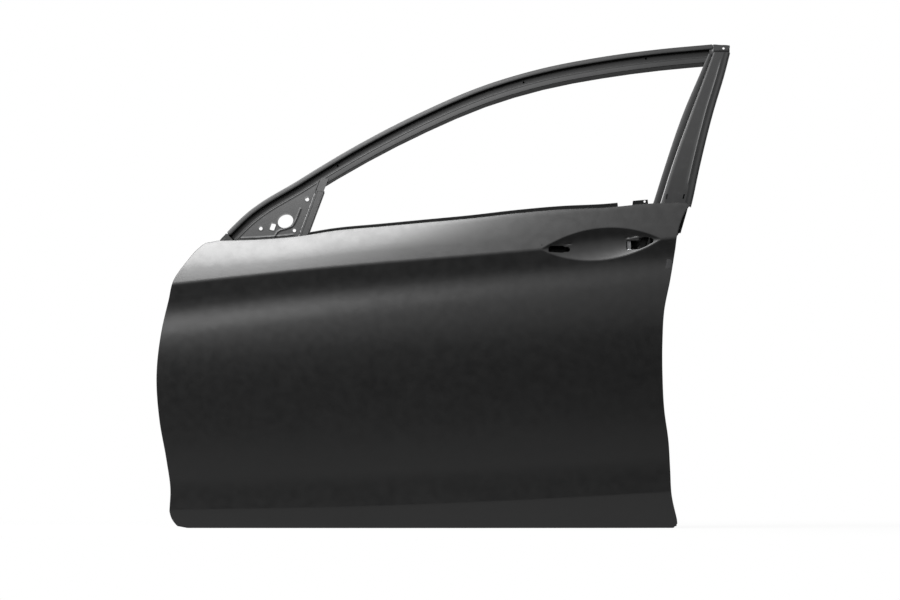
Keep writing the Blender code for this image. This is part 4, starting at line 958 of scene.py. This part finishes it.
belt_face = SLOT_TURN * MM + SKIN_SHEET / 2 + SHEET_GAP + BELT_SHEET / 2
steps = [277.5, RISE_FRONT, RISE_REAR, 956.8, 988.8, TAB_FRONT, TAB_REAR, 1023.2]
rows = []
for x in [s * MM for s in sorted(set([90 + 8 * i for i in range(118)] + steps))]:
    y, z = skin_y(x, belt_line(x)), belt_line(x)
    top = z + upstand(x)
    rows.append([place(x, y + belt_face + 0.5 * MM, top), place(x, y + belt_face, top - 0.8 * MM),
                 place(x, y + belt_face, z - 8 * MM), place(x, y - 4 * MM, z - 26 * MM),
                 place(x, y - 4 * MM, z - 50 * MM),
                 place(x, skin_y(x, z - 56 * MM) + 6 * MM, z - 60 * MM)])
tab_hole = prism("tab_hole", circle(1015.5 * MM, 717.2 * MM, 2.4 * MM), -60 * MM, 60 * MM)
# The stiffener takes the darker primer: painted shade on the strip above the skin's edge.
pressed("belt_stiffener", *strip(rows), BELT_SHEET, SHADE_PRIMER, "inner_primer", "outer_belt_reinforcement",
        cutters=[tab_hole])

# %% [markdown]
# Behind the front handle opening the handle's reinforcement turns inboard in a joggled tongue. It is
# what one sees in the dark at the opening's outer end. It lies in real shade there and also takes the
# darker primer as painted shade.

# %% The tongue behind the front handle opening
BEND_X = 799.5 * MM
SKIN_SLANT = 0.2
TONGUE = mm([(788, 3.0), (799.5, 3.0), (801.5, 4.2), (802.6, 7.0), (803.2, 12.0), (804.4, 13.5),
             (808.6, 13.5)])
bend_y = skin_y(BEND_X, 612 * MM)
rows = [[place(x, bend_y + min(x - BEND_X, 0.0) * SKIN_SLANT + back, z) for x, back in TONGUE]
        for z in levels(602 * MM, 622 * MM, 2 * MM)]
# The darker primer on the tongue is painted shade.
pressed("handle_tongue", *strip(rows), BELT_SHEET, SHADE_PRIMER, "inner_primer")

# %% [markdown]
# ## Pieces that keep their CAD shape
#
# Flat pressings behind the skin are right as they are. Most only need the duller inner primer, and
# the small steel pieces get plating or mastic. The header's and the pillar's inner sheets and the handle
# reinforcement, seen through gaps and openings, take the darker primer as painted shade.

# %% Finishes for the CAD pieces
finish_of = dict.fromkeys(("inner_panel", "inner_belt_reinforcement", "impact_beam", "beam_bracket_front",
                           "beam_bracket_rear", "check_arm_reinforcement", "latch_reinforcement",
                           "lower_hinge_reinforcement", "upper_hinge_reinforcement"), INNER)
# Painted shade: pieces seen through gaps and openings take the darker primer.
finish_of.update(dict.fromkeys(("header_inner", "pillar_inner", "handle_reinforcement"), SHADE_PRIMER))
finish_of["lock_bracket"] = PLATED
for name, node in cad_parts.items():
    if name.endswith(("nut_1", "nut_2")):
        finish_of[name] = NUT
    if name.startswith("anti_flutter"):
        finish_of[name] = MASTIC
    if name in finish_of:
        node.data.materials.clear()
        node.data.materials.append(finish_of[name])
print("CAD pieces dressed", len(finish_of))

# %% [markdown]
# ## Studio
#
# The panel reads by what it mirrors. One large softbox above gives the bright shoulder, and the blur
# of the satin primer spreads it down the door. A black cloth lies in front and hangs far off, seen
# only in the door, so the upright middle of the skin stays dark. The strip of pale floor before it
# lifts the edge that turns under.

# %% A background that is seen as white
def shows_white(tree, plain, share, out_socket, all_white_from=None):
    """Lets the camera, mirrors and glass see a share of white in place of the plain shader.

    Over a metre the share grows to all white, up to all_white_from metres in front or behind.
    """
    nodes, links = tree.nodes, tree.links

    def maths(operation, first, second=None):
        node = nodes.new("ShaderNodeMath")
        node.operation = operation
        links.new(first, node.inputs[0])
        if second is not None:
            links.new(second, node.inputs[1])
        return node

    ray = nodes.new("ShaderNodeLightPath")
    either = maths("MAXIMUM", ray.outputs["Is Camera Ray"], ray.outputs["Is Glossy Ray"])
    any_of = maths("MAXIMUM", either.outputs["Value"], ray.outputs["Is Transmission Ray"])
    part = maths("MULTIPLY", any_of.outputs["Value"])
    part.inputs[1].default_value = share
    if all_white_from:
        where, parts = nodes.new("ShaderNodeTexCoord"), nodes.new("ShaderNodeSeparateXYZ")
        links.new(where.outputs["Object"], parts.inputs["Vector"])
        far = maths("ABSOLUTE", parts.outputs["Y"])
        grow = nodes.new("ShaderNodeMapRange")
        grow.inputs["From Min"].default_value = all_white_from - 1.0
        grow.inputs["From Max"].default_value = all_white_from
        grow.inputs["To Min"].default_value = share
        links.new(far.outputs["Value"], grow.inputs["Value"])
        links.new(grow.outputs["Result"], part.inputs[1])
    white = nodes.new("ShaderNodeBackground" if tree == world.node_tree else "ShaderNodeEmission")
    white.inputs["Color"].default_value = (1, 1, 1, 1)
    white.inputs["Strength"].default_value = 1.0
    mix = nodes.new("ShaderNodeMixShader")
    links.new(part.outputs["Value"], mix.inputs["Fac"])
    links.new(plain, mix.inputs[1])
    links.new(white.outputs[0], mix.inputs[2])
    links.new(mix.outputs["Shader"], out_socket)


AMBIENT = 0.02
world = bpy.data.worlds.new("studio")
bpy.context.scene.world = world
world.use_nodes = True
ambient = world.node_tree.nodes["Background"]
ambient.inputs["Color"].default_value = (0.94, 0.97, 1.0, 1)
ambient.inputs["Strength"].default_value = AMBIENT
shows_white(world.node_tree, ambient.outputs[0], 1.0, world.node_tree.nodes["World Output"].inputs["Surface"])
print("world lights the door with a strength of", AMBIENT)

# %% Floor and black cloth
FLOOR_WHITE = 0.93
FLOOR_ALL_WHITE = 1.4
FLOOR_DROP = 0.0005
FLOOR_HALF = 14
STAGE_LEFT, STAGE_RIGHT = -14, 15
CLOTH_EDGE = -1.6
CLOTH_BACK = -12.0
CLOTH_HEIGHT = 4.0
CLOTH_LIFT = 0.002


def ground(name, corners, height, mat):
    """Stage pieces: four-sided faces, four corners each."""
    mesh = bpy.data.meshes.new(name)
    mesh.from_pydata(corners, [], [(k, k + 1, k + 2, k + 3) for k in range(0, len(corners), 4)])
    mesh.materials.append(mat)
    obj = bpy.data.objects.new(name, mesh)
    obj.location = (0, 0, height)
    bpy.context.scene.collection.objects.link(obj)
    return obj


def plain_mat(name, grey):
    mat = bpy.data.materials.new(name)
    mat.use_nodes = True
    mat.node_tree.nodes["Principled BSDF"].inputs["Base Color"].default_value = (grey, grey, grey, 1)
    mat.node_tree.nodes["Principled BSDF"].inputs["Roughness"].default_value = 0.9
    return mat


def lying(y_from, y_to):
    """Corners of a flat stage piece as wide as the stage."""
    return [(STAGE_LEFT, y_from, 0), (STAGE_RIGHT, y_from, 0), (STAGE_RIGHT, y_to, 0), (STAGE_LEFT, y_to, 0)]


floor_mat = plain_mat("pale_floor", 0.35)
floor_nodes = floor_mat.node_tree.nodes
shows_white(floor_mat.node_tree, floor_nodes["Principled BSDF"].outputs[0], FLOOR_WHITE,
            floor_nodes["Material Output"].inputs["Surface"], all_white_from=FLOOR_ALL_WHITE)
ground("floor", lying(-FLOOR_HALF, FLOOR_HALF), cad_low[2] - FLOOR_DROP, floor_mat)
hanging = [(STAGE_LEFT, CLOTH_BACK, 0), (STAGE_RIGHT, CLOTH_BACK, 0),
           (STAGE_RIGHT, CLOTH_BACK, CLOTH_HEIGHT), (STAGE_LEFT, CLOTH_BACK, CLOTH_HEIGHT)]
cloth = ground("black_cloth", lying(CLOTH_BACK, CLOTH_EDGE) + hanging, cad_low[2] + CLOTH_LIFT,
               plain_mat("black_cloth", 0.015))
cloth.visible_camera = False
print("floor at", round(cad_low[2] - FLOOR_DROP, 4), "cloth from y", CLOTH_EDGE)

# %% The softbox
AIM = Vector((0.53, 0.0, 0.35))
SOFTBOX_PLACE = Vector((-0.55, -1.05, 2.9))

lamp = bpy.data.lights.new("overhead_softbox", "AREA")
lamp.shape = "RECTANGLE"
lamp.size, lamp.size_y = 2.3, 1.9
lamp.energy = 400
softbox = bpy.data.objects.new("overhead_softbox", lamp)
softbox.location = SOFTBOX_PLACE
softbox.rotation_euler = (AIM - SOFTBOX_PLACE).to_track_quat("-Z", "Y").to_euler()
bpy.context.scene.collection.objects.link(softbox)
print("softbox stands off by", round((AIM - SOFTBOX_PLACE).length, 2), "m")

# %% [markdown]
# ## Camera
#
# A very long lens from forty metres, square on to the door, frames 1.98 m by 1.32 m at the skin, so
# that the leaning window frame hardly shrinks against the panel below it.

# %% The camera and the end
CAMERA_DISTANCE = 40.0
PICTURE_WIDTH = 1.98
PICTURE_MIDDLE = (0.5874, 0.3555)

camera_data = bpy.data.cameras.new("camera")
camera_data.sensor_width = 36
camera_data.lens = camera_data.sensor_width * CAMERA_DISTANCE / PICTURE_WIDTH
camera_data.clip_end = 4 * CAMERA_DISTANCE
camera = bpy.data.objects.new("camera", camera_data)
camera.location = (PICTURE_MIDDLE[0], -CAMERA_DISTANCE, PICTURE_MIDDLE[1])
camera.rotation_euler = (math.radians(90), 0, 0)
bpy.context.scene.collection.objects.link(camera)
bpy.context.scene.camera = camera
bpy.context.scene.view_settings.view_transform = "Standard"
